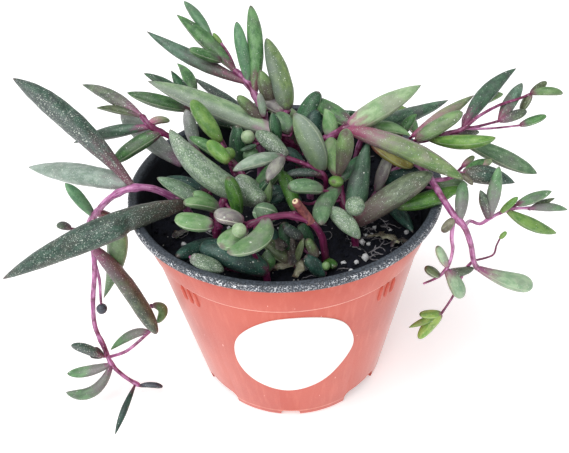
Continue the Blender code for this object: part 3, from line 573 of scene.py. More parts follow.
        "front_silver": Leaf(-1, (-18.6, -42, 80), 4.6, "frosted",
            foot=(-27.7, -40.9, 85), shape=(0.6, 1.0, 0.5)),
    },
    "centre_twig": {
        "centre_slim_low": Leaf(-1, (-14, -0.4, 94), 1.9, "deep", foot=(-8.4, 1.2, 95)),
    },
    "left_petiole": {
        "left_curl": Leaf(-1, (-50.8, -13.3, 28), 3.6, "light", (3.2, 1, 1), foot=(-52.5, -8.6, 33)),
    },
}

# Round pickles: the middle, the radius, the look, and the stem and place that each one grows from
ROUND_LEAVES = {
    "centre_ball": ((-17.4, -3.5, 95), 2.1, "bright", "core", -1),
    "centre_back_ball": ((-11.4, 4.8, 96), 2.3, "lemon", "centre_twig", -1),
    "centre_pale_ball": ((-10.7, 1.6, 91), 2.7, "sage", "core", 3.4),
    "front_ball": ((-13, -41.6, 94.5), 2.0, "lemon", "front", -1),
    "middle_ball": ((20.5, -26.2, 89), 2.9, "frosted", "mid_right", 1.6),
    "low_ball": ((11.2, -35, 73.5), 1.35, "light", "front", 0.5),
    "left_bud_ball": ((-69, -14.5, 38.5), 1.95, "ash", "left_bud", -1),
}

# The side of a leaf that is cut narrower below a bite: the share of the length that it reaches,
# the side, the depth and the spread of the bite
BITES = {"left_drooping": (0.36, -1, 0.8, 0.035)}

# Dry leaves on the soil: the middle, the length, the width, the heading in degrees and the look
DEBRIS = (
    ((33, -21, 70.8), 9, 2.4, -50, "dry"), ((29, -18, 70.4), 6, 1.6, 20, "dry"),
    ((-4, -29, 78), 10, 3.6, -60, "withered"), ((2, -31, 75), 11, 3.4, -100, "withered"),
    ((-1, -33, 73), 8, 2.8, 20, "dry"), ((2, -35, 73), 8, 2.8, 80, "dry"),
    ((36, -24, 70.8), 7, 2.0, 10, "withered"), ((-35, -12, 70.4), 8, 2.6, 30, "withered"),
    ((20, 34, 70.3), 10, 3.2, 50, "dry"), ((-26, 27, 70), 9, 3.0, 120, "withered"),
    ((39, 8, 70.6), 9, 3.0, 80, "withered"),
)

# Grains scattered on the soil: the finish, the slot, the sharp angle in degrees, how many there
# are, how far from the middle they reach, the smallest and largest radius, how far each stands
# out as a share of its radius and as a distance, its stretch and how rough it is
GRAIN_KINDS = {
    "soil_crumbs": (
        "soil", "potting_soil", 80, 420, 45.5, (0.35, 1.2), 0.25, 0.0, (1, 0.8, 0.7), 0.35),
    "soil_bark": (
        "bark", "potting_soil", 50, 24, 44.0, (0.9, 2.0), 0.0, 0.5, (1.9, 0.7, 0.35), 0.5),
    "soil_perlite": (
        "perlite", "potting_soil", 50, 34, 44.5, (0.3, 0.9), 0.4, 0.0, (1, 0.9, 0.8), 0.5),
}

# The seed of the dry leaves' shrivelled shapes, which would differ in each run without one
DRY_SEED = 5

# White grains on the soil that show in front: the place and the radius of each
GRAINS = (
    (3, -33, 1.2), (5, -32, 1.0), (24, -21, 1.0), (24, -29, 1.3), (21, -31, 0.8), (17, -31, 0.9),
    (26, -22, 0.7), (29, -14, 0.8), (-34, -18, 0.9), (-38, -13, 0.6), (34, -16, 0.6), (19, -34, 0.8),
)

# Where the dry fibres lie thickest on the soil
STRAW_MIDDLE = (29, -20)
STRAW_REACH = 11.0
STRAW_COUNT = 26

# The cut stub on the arching front stem
STUB_ROUTE = ((7, -33, 89), (5, -32.5, 92.5), (3, -34, 97))
STUB_RADII = (1.15, 1.05)


def shade(color):
    """A linear colour with alpha from screen values of 0 to 255."""
    linear = []
    for value in color:
        share = value / 255
        linear.append(share / 12.92 if share <= 0.04045 else ((share + 0.055) / 1.055) ** 2.4)
    return (*linear, 1.0)


def smooth_share(low, high, value):
    share = min(max((value - low) / (high - low), 0.0), 1.0)
    return share * share * (3 - 2 * share)


def curve_point(points, place):
    """The point of the smooth curve through the points, at a place counted in points."""
    last = len(points) - 1
    if place < 0:
        place = last
    i = min(int(place), last - 1)
    t = place - i
    before = points[max(i - 1, 0)]
    start = points[i]
    end = points[i + 1]
    after = points[min(i + 2, last)]
    bend = 2 * before - 5 * start + 4 * end - after
    pull = 3 * start - before - 3 * end + after
    return 0.5 * (2 * start + (end - before) * t + bend * t * t + pull * t ** 3)


class Recipe:
    """One material's node tree, built in short steps. Places in it are in millimetres."""

    def __init__(self, name):
        self.material = bpy.data.materials.new(name)
        self.material.use_nodes = True
        self.tree = self.material.node_tree
        self.shader = self.tree.nodes["Principled BSDF"]

    def add(self, kind, values, **settings):
        """A node with settings, and with a number, colour or link on each named input."""
        node = self.tree.nodes.new(kind)
        for key, value in settings.items():
            setattr(node, key, value)
        for key, value in values.items():
            self.put(node.inputs[key], value)
        return node

    def put(self, socket, value):
        if isinstance(value, bpy.types.NodeSocket):
            self.tree.links.new(value, socket)
        else:
            socket.default_value = value

    def finish(self, **values):
        """Puts values on the shader, with a low line for each space in a socket's name."""
        for key, value in values.items():
            self.put(self.shader.inputs[key.replace("_", " ")], value)
        return self.material

    def place(self):
        """The place on the piece in millimetres."""
        metres = self.add("ShaderNodeTexCoord", {}).outputs["Object"]
        return self.scale(metres, (1 / MM, 1 / MM, 1 / MM))

    def attribute(self, name):
        return self.add("ShaderNodeAttribute", {}, attribute_name=name)

    def scale(self, vector, factors):
        return self.add("ShaderNodeVectorMath", {0: vector, 1: factors}, operation="MULTIPLY").outputs[0]

    def split(self, vector):
        return self.add("ShaderNodeSeparateXYZ", {0: vector}).outputs

    def math(self, operation, first, second=0.0):
        return self.add("ShaderNodeMath", {0: first, 1: second}, operation=operation).outputs[0]

    def times(self, first, second):
        return self.math("MULTIPLY", first, second)

    def plus(self, first, second):
        return self.math("ADD", first, second)

    def smooth(self, value, low, high, start=0.0, end=1.0):
        """Goes smoothly from start to end while the value goes from low to high."""
        values = {"Value": value, "From Min": low, "From Max": high, "To Min": start, "To Max": end}
        return self.add("ShaderNodeMapRange", values, interpolation_type="SMOOTHSTEP").outputs[0]

    def mix(self, share, low, high, blend="MIX"):
        """Low where the share is 0 and high where it is 1. Each is a link or a screen colour."""
        values = {0: share}
        for socket, color in ((6, low), (7, high)):
            values[socket] = shade(color) if isinstance(color, tuple) else color
        return self.add("ShaderNodeMix", values, data_type="RGBA", blend_type=blend).outputs[2]

    def noise(self, vector, scale, detail=3.0, roughness=0.55):
        values = {"Vector": vector, "Scale": scale, "Detail": detail, "Roughness": roughness}
        return self.add("ShaderNodeTexNoise", values).outputs[0]

    def specks(self, vector, scale, size, share):
        """1 in small separate dots. Size is a share of the spacing, and share says how many."""
        cell = self.add("ShaderNodeTexVoronoi", {"Vector": vector, "Scale": scale})
        chance, reach, _ = self.split(cell.outputs["Color"])
        limit = self.math("MULTIPLY_ADD", reach, size)
        limit.node.inputs[2].default_value = size * 0.5
        inside = self.math("LESS_THAN", cell.outputs["Distance"], limit)
        chosen = self.math("LESS_THAN", chance, share)
        return self.times(inside, chosen)

    def bump(self, height, strength, distance):
        values = {"Height": height, "Strength": strength, "Distance": distance * MM}
        return self.add("ShaderNodeBump", values).outputs[0]


def leaf_material(name, look):
    """Mottled skin with a stained foot, a pale rim that is partly painted edge highlight, a tip, a fine
    bloom and pale specks.
    """
    recipe = Recipe("leaf_" + name)
    along, across, up = recipe.split(recipe.attribute("leaf_shape").outputs["Vector"])
    grain = recipe.attribute("leaf_grain").outputs["Vector"]
    vary = recipe.attribute("leaf_vary").outputs["Fac"]
    mottle = recipe.noise(recipe.scale(grain, (0.35, 0.7, 0.7)), 0.8, 4, 0.6)
    clouds = recipe.noise(grain, 0.14, 2)
    fine = recipe.noise(grain, 2.6, 3, 0.7)
    body = recipe.mix(recipe.smooth(mottle, 0.36, 0.64), look.deep, look.light)
    stain = recipe.smooth(clouds, 0.47, 0.70, 0.0, 0.5)
    body = recipe.mix(stain, body, look.stain)
    if look.lean:
        tint = recipe.smooth(across, 0.0, look.lean, 0.0, 0.75)
        body = recipe.mix(tint, body, look.stain)
    under = recipe.smooth(up, 0.1, -0.9, 0.0, 0.35)
    body = recipe.mix(under, body, look.stain)
    uneven = recipe.plus(along, recipe.smooth(mottle, 0.3, 0.7, -0.08, 0.08))
    wash = recipe.smooth(uneven, look.wash * 0.3, look.wash, 0.8, 0.0)
    body = recipe.mix(wash, body, look.stain)
    neck = recipe.smooth(uneven, look.reach * 0.1, look.reach, 0.9, 0.0)
    body = recipe.mix(neck, body, look.neck)
    edge = recipe.math("ABSOLUTE", across)
    # A thin pale line along the edge: partly the leaf's own margin and partly painted highlight along the
    # thin edge
    rim = recipe.smooth(edge, 0.978, 0.996, 0.0, look.rim)
    body = recipe.mix(rim, body, look.rim_color)
    tip = recipe.smooth(along, 0.94, 1.0, 0.0, 0.75)
    body = recipe.mix(tip, body, look.tip_color)
    grit = recipe.smooth(fine, 0.30, 0.46, 0.30, 0.0)
    body = recipe.mix(grit, body, look.deep)
    bloom = recipe.smooth(fine, 0.50, 0.74, 0.0, 0.26)
    body = recipe.mix(bloom, body, (172, 190, 184))
    body = recipe.mix(1.0, body, recipe.smooth(vary, 0.0, 1.0, 0.82, 1.12), "MULTIPLY")
    frost = recipe.smooth(fine, 0.55, 0.64, 0.0, max(look.speckle - 1.2, 0.0) * 0.45)
    body = recipe.mix(frost, body, (204, 214, 202))
    small = recipe.specks(grain, 2.6, 0.26, look.speckle * 0.36)
    large = recipe.specks(grain, 0.9, 0.18, look.speckle * 0.2)
    specks = recipe.math("MAXIMUM", small, large)
    specks = recipe.times(specks, recipe.smooth(clouds, 0.32, 0.58, 0.3, 0.75))
    body = recipe.mix(specks, body, (214, 222, 210))
    height = recipe.plus(recipe.times(specks, 0.7), fine)
    rough = recipe.smooth(fine, 0.3, 0.7, 0.34, 0.5)
    return recipe.finish(
        Base_Color=body, Roughness=rough, Normal=recipe.bump(height, 0.4, 0.12),
        Subsurface_Weight=0.1, Subsurface_Radius=(0.6, 1.0, 0.35), Subsurface_Scale=1.0 * MM,
        Specular_IOR_Level=0.45)


def stem_material():
    """Glossy magenta skin with pale lengthwise streaks and whitish flecks, partly the skin's own marks and
    partly painted highlight. The tone attribute is how pale it is.
    """
    recipe = Recipe("stem_skin")
    grain = recipe.attribute("stem_grain").outputs["Vector"]
    tone = recipe.attribute("stem_tone").outputs["Fac"]
    streaks = recipe.noise(recipe.scale(grain, (0.22, 1.5, 1.5)), 1.0, 4)
    clouds = recipe.noise(grain, 0.30, 3)
    skin = recipe.mix(recipe.smooth(streaks, 0.3, 0.7), (80, 20, 54), (126, 42, 88))
    # Pale lilac streaks: partly the skin's own colour and partly painted highlight
    pale = recipe.mix(recipe.smooth(streaks, 0.35, 0.65), (156, 78, 132), (210, 150, 194))
    shown = recipe.plus(tone, recipe.smooth(clouds, 0.3, 0.7, -0.28, 0.28))
    skin = recipe.mix(recipe.smooth(shown, 0.15, 0.9), skin, pale)
    # Whitish flecks: partly the skin's own marks and partly painted highlight
    flecks = recipe.specks(recipe.scale(grain, (0.5, 1.0, 1.0)), 1.9, 0.22, 0.22)
    skin = recipe.mix(recipe.times(flecks, 0.5), skin, (222, 190, 202))
    height = recipe.plus(streaks, recipe.times(flecks, 0.5))
    return recipe.finish(
        Base_Color=skin, Roughness=recipe.smooth(clouds, 0.3, 0.7, 0.26, 0.44),
        Normal=recipe.bump(height, 0.4, 0.15), Subsurface_Weight=0.1,
        Subsurface_Radius=(1.0, 0.4, 0.5), Subsurface_Scale=0.8 * MM)


def terracotta_material():
    """Moulded plastic in terracotta, with faint upright marks and pale lines at step and foot that are
    partly mould lines and partly painted highlight.
    """
    recipe = Recipe("pot_terracotta")
    place = recipe.place()
    height = recipe.split(place)[2]
    marks = recipe.noise(recipe.scale(place, (0.5, 0.5, 0.03)), 1.0, 3)
    clouds = recipe.noise(place, 0.03, 3)
    fine = recipe.noise(place, 3.0, 3)
    color = recipe.mix(recipe.smooth(clouds, 0.3, 0.7), (184, 68, 48), (198, 82, 60))
    color = recipe.mix(recipe.smooth(marks, 0.45, 0.8, 0.0, 0.25), color, (222, 132, 112))
    worn = recipe.smooth(recipe.noise(place, 0.35, 4), 0.35, 0.6, 0.35, 0.8)
    # Pale lines along the step's edge and the foot, broken into patches: partly mould lines and partly
    # painted highlight
    for middle, reach, strength in ((STEP_HEIGHT, 0.7, 1.0), (FOOT_LINE, 0.5, 0.6)):
        above = recipe.smooth(height, middle - reach, middle - 0.1)
        below = recipe.smooth(height, middle + 0.5, middle + 0.1)
        line = recipe.times(recipe.times(above, below), strength)
        color = recipe.mix(recipe.times(line, worn), color, (246, 190, 170))
    scuffs = recipe.specks(recipe.scale(place, (1.0, 1.0, 0.35)), 0.9, 0.16, 0.05)
    color = recipe.mix(recipe.times(scuffs, 0.5), color, (250, 214, 200))
    return recipe.finish(
        Base_Color=color, Roughness=recipe.smooth(fine, 0.3, 0.7, 0.36, 0.48),
        Normal=recipe.bump(recipe.plus(fine, marks), 0.12, 0.1), Specular_IOR_Level=0.5,
        Sheen_Weight=0.5, Sheen_Roughness=0.3)


def rim_material(rim_radius, pot_height):
    """Black plastic, dusty on the rim's top and scuffed to white flecks along its outer roll."""
    recipe = Recipe("pot_black")
    place = recipe.place()
    x, y, height = recipe.split(place)
    radius = recipe.math("SQRT", recipe.plus(recipe.times(x, x), recipe.times(y, y)))
    fine = recipe.noise(place, 1.6, 4, 0.7)
    clouds = recipe.noise(place, 0.18, 3)
    on_rim = recipe.smooth(height, pot_height - 3.0, pot_height - 1.2)
    dust = recipe.times(on_rim, recipe.smooth(fine, 0.38, 0.68, 0.1, 0.8))
    color = recipe.mix(recipe.smooth(clouds, 0.3, 0.7), (18, 22, 28), (30, 36, 44))
    color = recipe.mix(dust, color, (92, 100, 112))
    outer = recipe.smooth(radius, rim_radius - 1.3, rim_radius - 0.3)
    outer = recipe.times(outer, on_rim)
    flecks = recipe.math("GREATER_THAN", recipe.noise(place, 2.1, 3, 0.7), 0.555)
    patches = recipe.smooth(recipe.noise(place, 0.22, 2), 0.40, 0.60, 0.4, 1.0)
    flecks = recipe.times(recipe.times(flecks, outer), patches)
    color = recipe.mix(flecks, color, (230, 232, 236))
    low = recipe.smooth(height, pot_height - LIP_HEIGHT + 0.7, pot_height - LIP_HEIGHT + 0.1)
    worn = recipe.times(recipe.times(low, outer), recipe.smooth(fine, 0.4, 0.6))
    color = recipe.mix(worn, color, (214, 130, 110))
    return recipe.finish(
        Base_Color=color, Roughness=recipe.smooth(fine, 0.3, 0.7, 0.42, 0.6),
        Normal=recipe.bump(recipe.plus(fine, flecks), 0.35, 0.15))


def soil_material():
    recipe = Recipe("potting_soil")
    place = recipe.place()
    clumps = recipe.noise(place, 0.5, 4, 0.65)
    fine = recipe.noise(place, 3.5, 4, 0.7)
    color = recipe.mix(recipe.smooth(clumps, 0.35, 0.7), (5, 8, 18), (24, 27, 42))
    color = recipe.mix(recipe.smooth(fine, 0.55, 0.75, 0.0, 0.5), color, (74, 72, 76))
    dots = recipe.specks(place, 0.8, 0.16, 0.10)
    color = recipe.mix(recipe.times(dots, 0.8), color, (190, 188, 184))
    return recipe.finish(
        Base_Color=color, Roughness=recipe.smooth(fine, 0.3, 0.7, 0.7, 0.95),
        Normal=recipe.bump(recipe.plus(clumps, fine), 0.8, 0.5), Specular_IOR_Level=0.3)


def grainy_material(name, dark, light, scale, rough):
    """A rough natural finish of two mottled tones."""
    recipe = Recipe(name)
    place = recipe.place()
    mottle = recipe.noise(place, scale, 4, 0.65)
    fine = recipe.noise(place, scale * 5, 3)
    color = recipe.mix(recipe.smooth(mottle, 0.32, 0.68), dark, light)
    return recipe.finish(
        Base_Color=color, Roughness=recipe.smooth(fine, 0.3, 0.7, rough - 0.1, rough),
        Normal=recipe.bump(recipe.plus(mottle, fine), 0.5, 0.2))


def paper_material():
    """White sticker paper with a soft fibre and faint greyish clouds."""
    recipe = Recipe("label_paper")
    place = recipe.place()
    fibre = recipe.noise(recipe.scale(place, (1.0, 1.0, 0.4)), 2.2, 3)
    clouds = recipe.noise(place, 0.08, 2)
    color = recipe.mix(recipe.smooth(fibre, 0.3, 0.7, 0.0, 0.5), (250, 250, 248), (240, 241, 240))
    color = recipe.mix(recipe.smooth(clouds, 0.4, 0.7, 0.0, 0.25), color, (238, 234, 228))
    return recipe.finish(
        Base_Color=color, Roughness=recipe.smooth(clouds, 0.3, 0.7, 0.30, 0.40),
        Normal=recipe.bump(fibre, 0.15, 0.05))


def floor_material():
    recipe = Recipe("studio_floor")
    clouds = recipe.noise(recipe.place(), 0.004, 2)
    color = recipe.mix(recipe.smooth(clouds, 0.3, 0.7), (250, 250, 251), (253, 253, 253))
    return recipe.finish(
        Base_Color=color, Roughness=0.6, Emission_Color=color, Emission_Strength=FLOOR_GLOW)


def new_object(name, data):
    """An object in the scene that holds a mesh, a light or the camera."""
    thing = bpy.data.objects.new(name, data)
    bpy.context.scene.collection.objects.link(thing)
    return thing


def new_mesh(name, builder):
    """The bmesh as a mesh, with its faces turned outwards."""
    bmesh.ops.recalc_face_normals(builder, faces=builder.faces)
    mesh = bpy.data.meshes.new(name)
    builder.to_mesh(mesh)
    builder.free()
    return mesh


def around(radius, angle, height=0.0):
    """The place at a radius, an angle about Z and a height."""
    return Vector((radius * math.cos(angle), radius * math.sin(angle), height))


def add_piece(name, builder, materials, slot, node=None, sharp=60):
    """Makes a piece of the bmesh, riding on the one body, and hides the CAD node it stands for."""
    mesh = new_mesh(name, builder)
    for finish in materials:
        mesh.materials.append(finish)
    mesh.shade_smooth()
    mesh.set_sharp_from_angle(angle=math.radians(sharp))
    piece = new_object(name, mesh)
    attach(piece, "root")
    if node:
        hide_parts(node)
    return piece


def bridge(builder, low, high, material_index=0):
    """Quads between two closed rings of equal length."""
    count = len(low)
    for i in range(count):
        j = (i + 1) % count
        face = builder.faces.new((low[i], low[j], high[j], high[i]))
        face.material_index = material_index


def fan(builder, ring, centre, material_index=0):
    """Triangles from a ring to one point."""
    for i, corner in enumerate(ring):
        face = builder.faces.new((corner, ring[(i + 1) % len(ring)], centre))
        face.material_index = material_index


def sweep(builder, centres, sides, section, mark):
    """A closed body along a line of centres. Section gives a ring point's two offsets for a
    station and an angle, and mark writes that point's attributes."""
    rings = []
    side = None
    last = len(centres) - 1
    for i, centre in enumerate(centres):
        direction = (centres[min(i + 1, last)] - centres[max(i - 1, 0)]).normalized()
        if side is None:
            side = direction.cross(UP)
            if side.length < 0.05:
                side = Vector((1, 0, 0))
        side = (side - direction * side.dot(direction)).normalized()
        across = side.cross(direction).normalized()
        ring = []
        for k in range(sides):
            angle = math.tau * k / sides
            wide, deep = section(i, angle)
            corner = builder.verts.new((centre + side * wide + across * deep) * MM)
            mark(corner, i, angle, wide, deep)
            ring.append(corner)
        rings.append(ring)
    for low, high in zip(rings, rings[1:]):
        bridge(builder, low, high)
    for ring, centre, station in ((rings[0], centres[0], 0), (rings[-1], centres[-1], last)):
        corner = builder.verts.new(centre * MM)
        mark(corner, station, 0.0, 0.0, 0.0)
        fan(builder, ring, corner)


def leaf_share(t, blunt, full, widest):
    """Half width of a leaf at t from its neck to its point, as a share of the largest. Blunt, from
    -1 to 1, rounds its end, and full, from 0 to 1, fills out the part below its widest place."""
    rise = min(t / widest, 1.0)
    body = LEAF_NECK + (1 - LEAF_NECK) * math.sin(math.pi / 2 * rise) ** (1.5 - full)
    taper = max(t - widest, 0) / (1 - widest)
    return body * (1 - taper ** (2.0 + 0.5 * blunt)) ** (0.78 - 0.26 * blunt)


def leaf_layers(builder):
    layers = builder.verts.layers
    return (layers.float_vector.new("leaf_shape"), layers.float_vector.new("leaf_grain"),
            layers.float.new("leaf_vary"))


def build_leaf(builder, name, start, tip, width, bow, shape=None, flatness=LEAF_FLATNESS):
    """A plump leaf along a bowed line, with a round foot, a faint groove and small unevenness."""
    layers = leaf_layers(builder)
    chance = random.Random(name)
    tip = Vector(tip)
    middle = (start + tip) / 2 + Vector(bow)
    control = middle * 2 - (start + tip) / 2
    length = (middle - start).length + (tip - middle).length
    blunt = min(max((4.8 - length / width) / 1.8, -0.5), 1.0)
    blunt, full, widest = shape or (blunt, 0.4 + 0.5 * max(blunt, 0), LEAF_WIDEST)
    half = LEAF_PLUMP * width / 2
    neck = LEAF_NECK * half
    seed = chance.uniform(0, 500)
    vary = chance.random()
    twist = math.radians(chance.uniform(-14, 14))
    groove = chance.uniform(0.04, 0.14)
    lean = chance.uniform(-0.06, 0.06)
    bite = BITES.get(name)
    stations = int(min(max(length / 1.1, 18), 46))
    shares = []
    centres = []
    for i in range(stations + 1):
        u = i / stations
        t = 0.45 * u + 0.55 * (0.5 - 0.5 * math.cos(math.pi * u))
        shares.append(t)
        centres.append(start * (1 - t) ** 2 + control * (2 * t * (1 - t)) + tip * t ** 2)

    def section(i, angle):
        t = shares[i]
        size = leaf_share(t, blunt, full, widest) * half
        foot = min(t * length / neck, 1.0)
        size *= math.sqrt(1 - (1 - foot) ** 2)
        size *= 1 + 0.05 * noise.noise(Vector((t * length / 7, seed, 0)))
        flat = flatness + (1 - flatness) * (1 - t) ** 3
        wide = math.cos(angle)
        deep = math.sin(angle)
        deep = math.copysign(abs(deep) ** 1.15, deep)
        if deep > 0:
            deep -= groove * math.exp(-(wide / 0.35) ** 2) * math.sin(math.pi * t)
        if bite and wide * bite[1] > 0:
            wide *= 1 - bite[2] * smooth_share(bite[0] + bite[3], bite[0], t)
        ripple = 1 + 0.035 * noise.noise(Vector((t * length / 3.0, seed + 2 * wide, 2 * deep)))
        wide = (wide + lean * math.sin(math.pi * t)) * size * ripple
        deep = deep * size * flat * ripple
        turn = twist * t
        return (wide * math.cos(turn) - deep * math.sin(turn),
                wide * math.sin(turn) + deep * math.cos(turn))

    def mark(corner, i, angle, wide, deep):
        corner[layers[0]] = Vector((shares[i], math.cos(angle), math.sin(angle)))
        corner[layers[1]] = Vector((shares[i] * length + seed, wide, deep + seed))
        corner[layers[2]] = vary

    sweep(builder, centres, LEAF_SIDES, section, mark)


def make_leaf(name, points, leaf, finishes, nodes):
    start = Vector(leaf.foot) if leaf.foot else curve_point(points, leaf.place)
    node = "leaf_" + name if "leaf_" + name in nodes else None
    builder = bmesh.new()
    build_leaf(builder, name, start, leaf.tip, leaf.width, leaf.bow, leaf.shape)
    add_piece(name + "_leaf", builder, [finishes[leaf.look]], LOOKS[leaf.look].slot, node)


def make_round_leaf(name, middle, radius, look, finishes):
    """A nearly round pickle, slightly pointed away from its stem."""
    builder = bmesh.new()
    layers = leaf_layers(builder)
    chance = random.Random(name)
    seed = chance.uniform(0, 500)
    bmesh.ops.create_icosphere(builder, subdivisions=4, radius=1.0)
    for corner in builder.verts:
        place = corner.co.copy()
        lump = 1 + 0.04 * noise.noise(place * 1.5 + Vector((seed, 0, 0)))
        point = 0.16 * max(-place.y, 0) ** 6
        corner[layers[0]] = Vector((0.5 - 0.46 * place.y, place.x, place.z))
        corner[layers[1]] = place * radius + Vector((seed, 0, seed))
        corner[layers[2]] = 0.6
        corner.co = (place * (radius * (lump + point)) + Vector(middle)) * MM
    add_piece(name, builder, [finishes[look]], LOOKS[look].slot)


def build_stem(builder, points, root, end, tone, swellings, name):
    """A tube along the smooth route, swollen where leaves grow, with a rounded end."""
    layers = builder.verts.layers
    grain = layers.float_vector.get("stem_grain") or layers.float_vector.new("stem_grain")
    shown = layers.float.get("stem_tone") or layers.float.new("stem_tone")
    seed = random.Random(name).uniform(0, 500)
    last = len(points) - 1
    centres = []
    radii = []
    for i in range(last):
        steps = max(int((points[i + 1] - points[i]).length / 0.8), 2)
        for k in range(steps):
            place = i + k / steps
            centres.append(curve_point(points, place))
            radii.append(STEM_PLUMP * (root + (end - root) * place / last))
    centres.append(points[-1].copy())
    radii.append(STEM_PLUMP * end)
    for i, centre in enumerate(centres):
        swell = sum(math.exp(-((centre - knot).length / 1.3) ** 2) for knot in swellings)
        radii[i] *= 1 + 0.28 * min(swell, 1.0)
        radii[i] *= 1 + 0.07 * noise.noise(Vector((i * 0.35, seed, 0)))
    outward = (centres[-1] - centres[-2]).normalized()
    final = radii[-1]
    for k in range(1, 5):
        turn = math.pi / 2 * k / 4.3
        centres.append(points[-1] + outward * (final * math.sin(turn)))
        radii.append(final * math.cos(turn))
    travelled = [0.0]
    for low, high in zip(centres, centres[1:]):
        travelled.append(travelled[-1] + (high - low).length)

    def section(i, angle):
        uneven = 1 + 0.06 * noise.noise(Vector((travelled[i] / 2, seed, 2 * math.cos(angle))))
        size = radii[i] * uneven
        return size * math.cos(angle), size * math.sin(angle)

    def mark(corner, i, angle, wide, deep):
        corner[grain] = Vector((travelled[i] + seed, wide, deep + seed))
        corner[shown] = tone * (1.15 - 0.45 * i / len(centres))

    sweep(builder, centres, STEM_SIDES, section, mark)


def stem_routes():
    """Every stem's radii, tone and route. Stems reach into the soil or into their parent."""
    routes = {}
    for name, (root, end, tone, route) in SOIL_STEMS.items():
        points = [Vector(stop) for stop in route]
        points[0].z = SOIL_TOP - 3
        routes[name] = (root, end, tone, points)
    for name, (parent, place, root, end, tone, route) in SIDE_STEMS.items():
        start = curve_point(routes[parent][3], place)
        routes[name] = (root, end, tone, [start] + [Vector(stop) for stop in route])
    return routes


def make_stems(routes, finish, nodes):
    for name, (root, end, tone, points) in routes.items():
        swellings = [curve_point(points, leaf.place) for leaf in LEAVES.get(name, {}).values()]
        builder = bmesh.new()
        build_stem(builder, points, root, end, tone, swellings, name)
        node = "stem_" + name if "stem_" + name in nodes else None
        add_piece(name + "_stem", builder, [finish], "stem_purple", node)


def make_stalks(routes, finish):
    """The short stalks of the leaves that start away from their stem, in one joined piece."""
    ends = []
    for stem, leaves in LEAVES.items():
        for name, leaf in leaves.items():
            if leaf.foot:
                ends.append((name, stem, leaf.place, Vector(leaf.foot), Vector(leaf.tip)))
    for name, (middle, radius, _, stem, place) in ROUND_LEAVES.items():
        ends.append((name, stem, place, Vector(middle), Vector(middle) + UP * radius))
    builder = bmesh.new()
    for name, stem, place, foot, tip in ends:
        base = curve_point(routes[stem][3], place)
        reach = (foot - base).length
        ahead = (tip - foot).normalized()
        bend = (base + foot) / 4 + (foot - ahead * reach * 0.4) / 2
        points = [base, bend, foot + ahead * 0.8]
        build_stem(builder, points, STALK_RADIUS, STALK_RADIUS, 0.25, [], name + "_stalk")
    add_piece("leaf_stalks", builder, [finish], "stem_purple")


def make_stub(finishes):
    """The cut stub, with a pale cut face."""
    points = [Vector(stop) for stop in STUB_ROUTE]
    builder = bmesh.new()
    build_stem(builder, points, *STUB_RADII, 0.3, [], "front_stub")
    add_piece("front_stub_stem", builder, [finishes["stub"]], "stem_purple")
    outward = (points[2] - points[1]).normalized()
    builder = bmesh.new()
    turn = outward.to_track_quat("Z", "Y").to_matrix().to_4x4()
    bmesh.ops.create_cone(builder, cap_ends=True, segments=24, radius1=0.95, radius2=0.8, depth=0.5)
    bmesh.ops.bevel(builder, geom=list(builder.edges), offset=0.12, segments=2, affect="EDGES")
    bmesh.ops.transform(builder, matrix=turn, verts=builder.verts)
    for corner in builder.verts:
        corner.co = (corner.co + points[2] + outward * 0.95) * MM
    add_piece("front_stub_cut", builder, [finishes["cut"]], "leaf_pale", sharp=40)


def make_debris(finishes):
    """Dry, shrivelled leaves lying on the soil."""
    noise.seed_set(DRY_SEED)
    for number, (middle, length, width, heading, look) in enumerate(DEBRIS):
        name = f"dry_leaf_{number + 1}"
        chance = random.Random(name)
        way = around(1, math.radians(heading))
        middle = Vector(middle)
        start = middle - way * (length / 2)
        tip = middle + way * (length / 2) + UP * chance.uniform(-0.5, 1.5)
        bow = way.cross(UP) * chance.uniform(-1.5, 1.5) + UP * chance.uniform(0.2, 1.2)
        builder = bmesh.new()
        build_leaf(builder, name, start, tip, width, bow, flatness=DRY_FLATNESS)
        for corner in builder.verts:
            place = corner.co / MM
            shift = noise.noise_vector(place * 0.45) * 0.9 + noise.noise_vector(place * 1.3) * 0.35
            corner.co = (place + shift) * MM
        add_piece(name, builder, [finishes[look]], LOOKS[look].slot)


def soften(profile):
    """Replaces each corner of a (radius, height, rounding) line with a small curve."""
    points = [Vector(stop[:2]) for stop in profile]
    softened = [points[0]]
    for before, corner, after, stop in zip(points, points[1:], points[2:], profile[1:]):
        reach_in = min(stop[2], (before - corner).length * 0.49)
        reach_out = min(stop[2], (after - corner).length * 0.49)
        start = corner + (before - corner).normalized() * reach_in
        end = corner + (after - corner).normalized() * reach_out
        for k in range(6):
            t = k / 5
            softened.append(start * (1 - t) ** 2 + corner * (2 * t * (1 - t)) + end * t ** 2)
    softened.append(points[-1])
    return softened


def turn_rings(builder, profile, segments, first_dark):
    """Faces of a (radius, height) line turned about Z, dark from one of its points on."""
    rings = []
    for radius, height in profile:
        if radius == 0:
            rings.append([builder.verts.new((0, 0, height * MM))])
            continue
        ring = []
        for i in range(segments):
            ring.append(builder.verts.new(around(radius, math.tau * i / segments, height) * MM))
        rings.append(ring)
    for number, (low, high) in enumerate(zip(rings, rings[1:])):
        finish = 1 if number >= first_dark else 0
        if len(low) == 1:
            fan(builder, high, low[0], finish)
        elif len(high) == 1:
            fan(builder, low, high[0], finish)
        else:
            bridge(builder, low, high, finish)


def wall_radius(height):
    """Outer radius of the pot's body at a height."""
    return BASE_RADIUS + (STEP_RADIUS - STEP_LEDGE - BASE_RADIUS) * height / STEP_HEIGHT


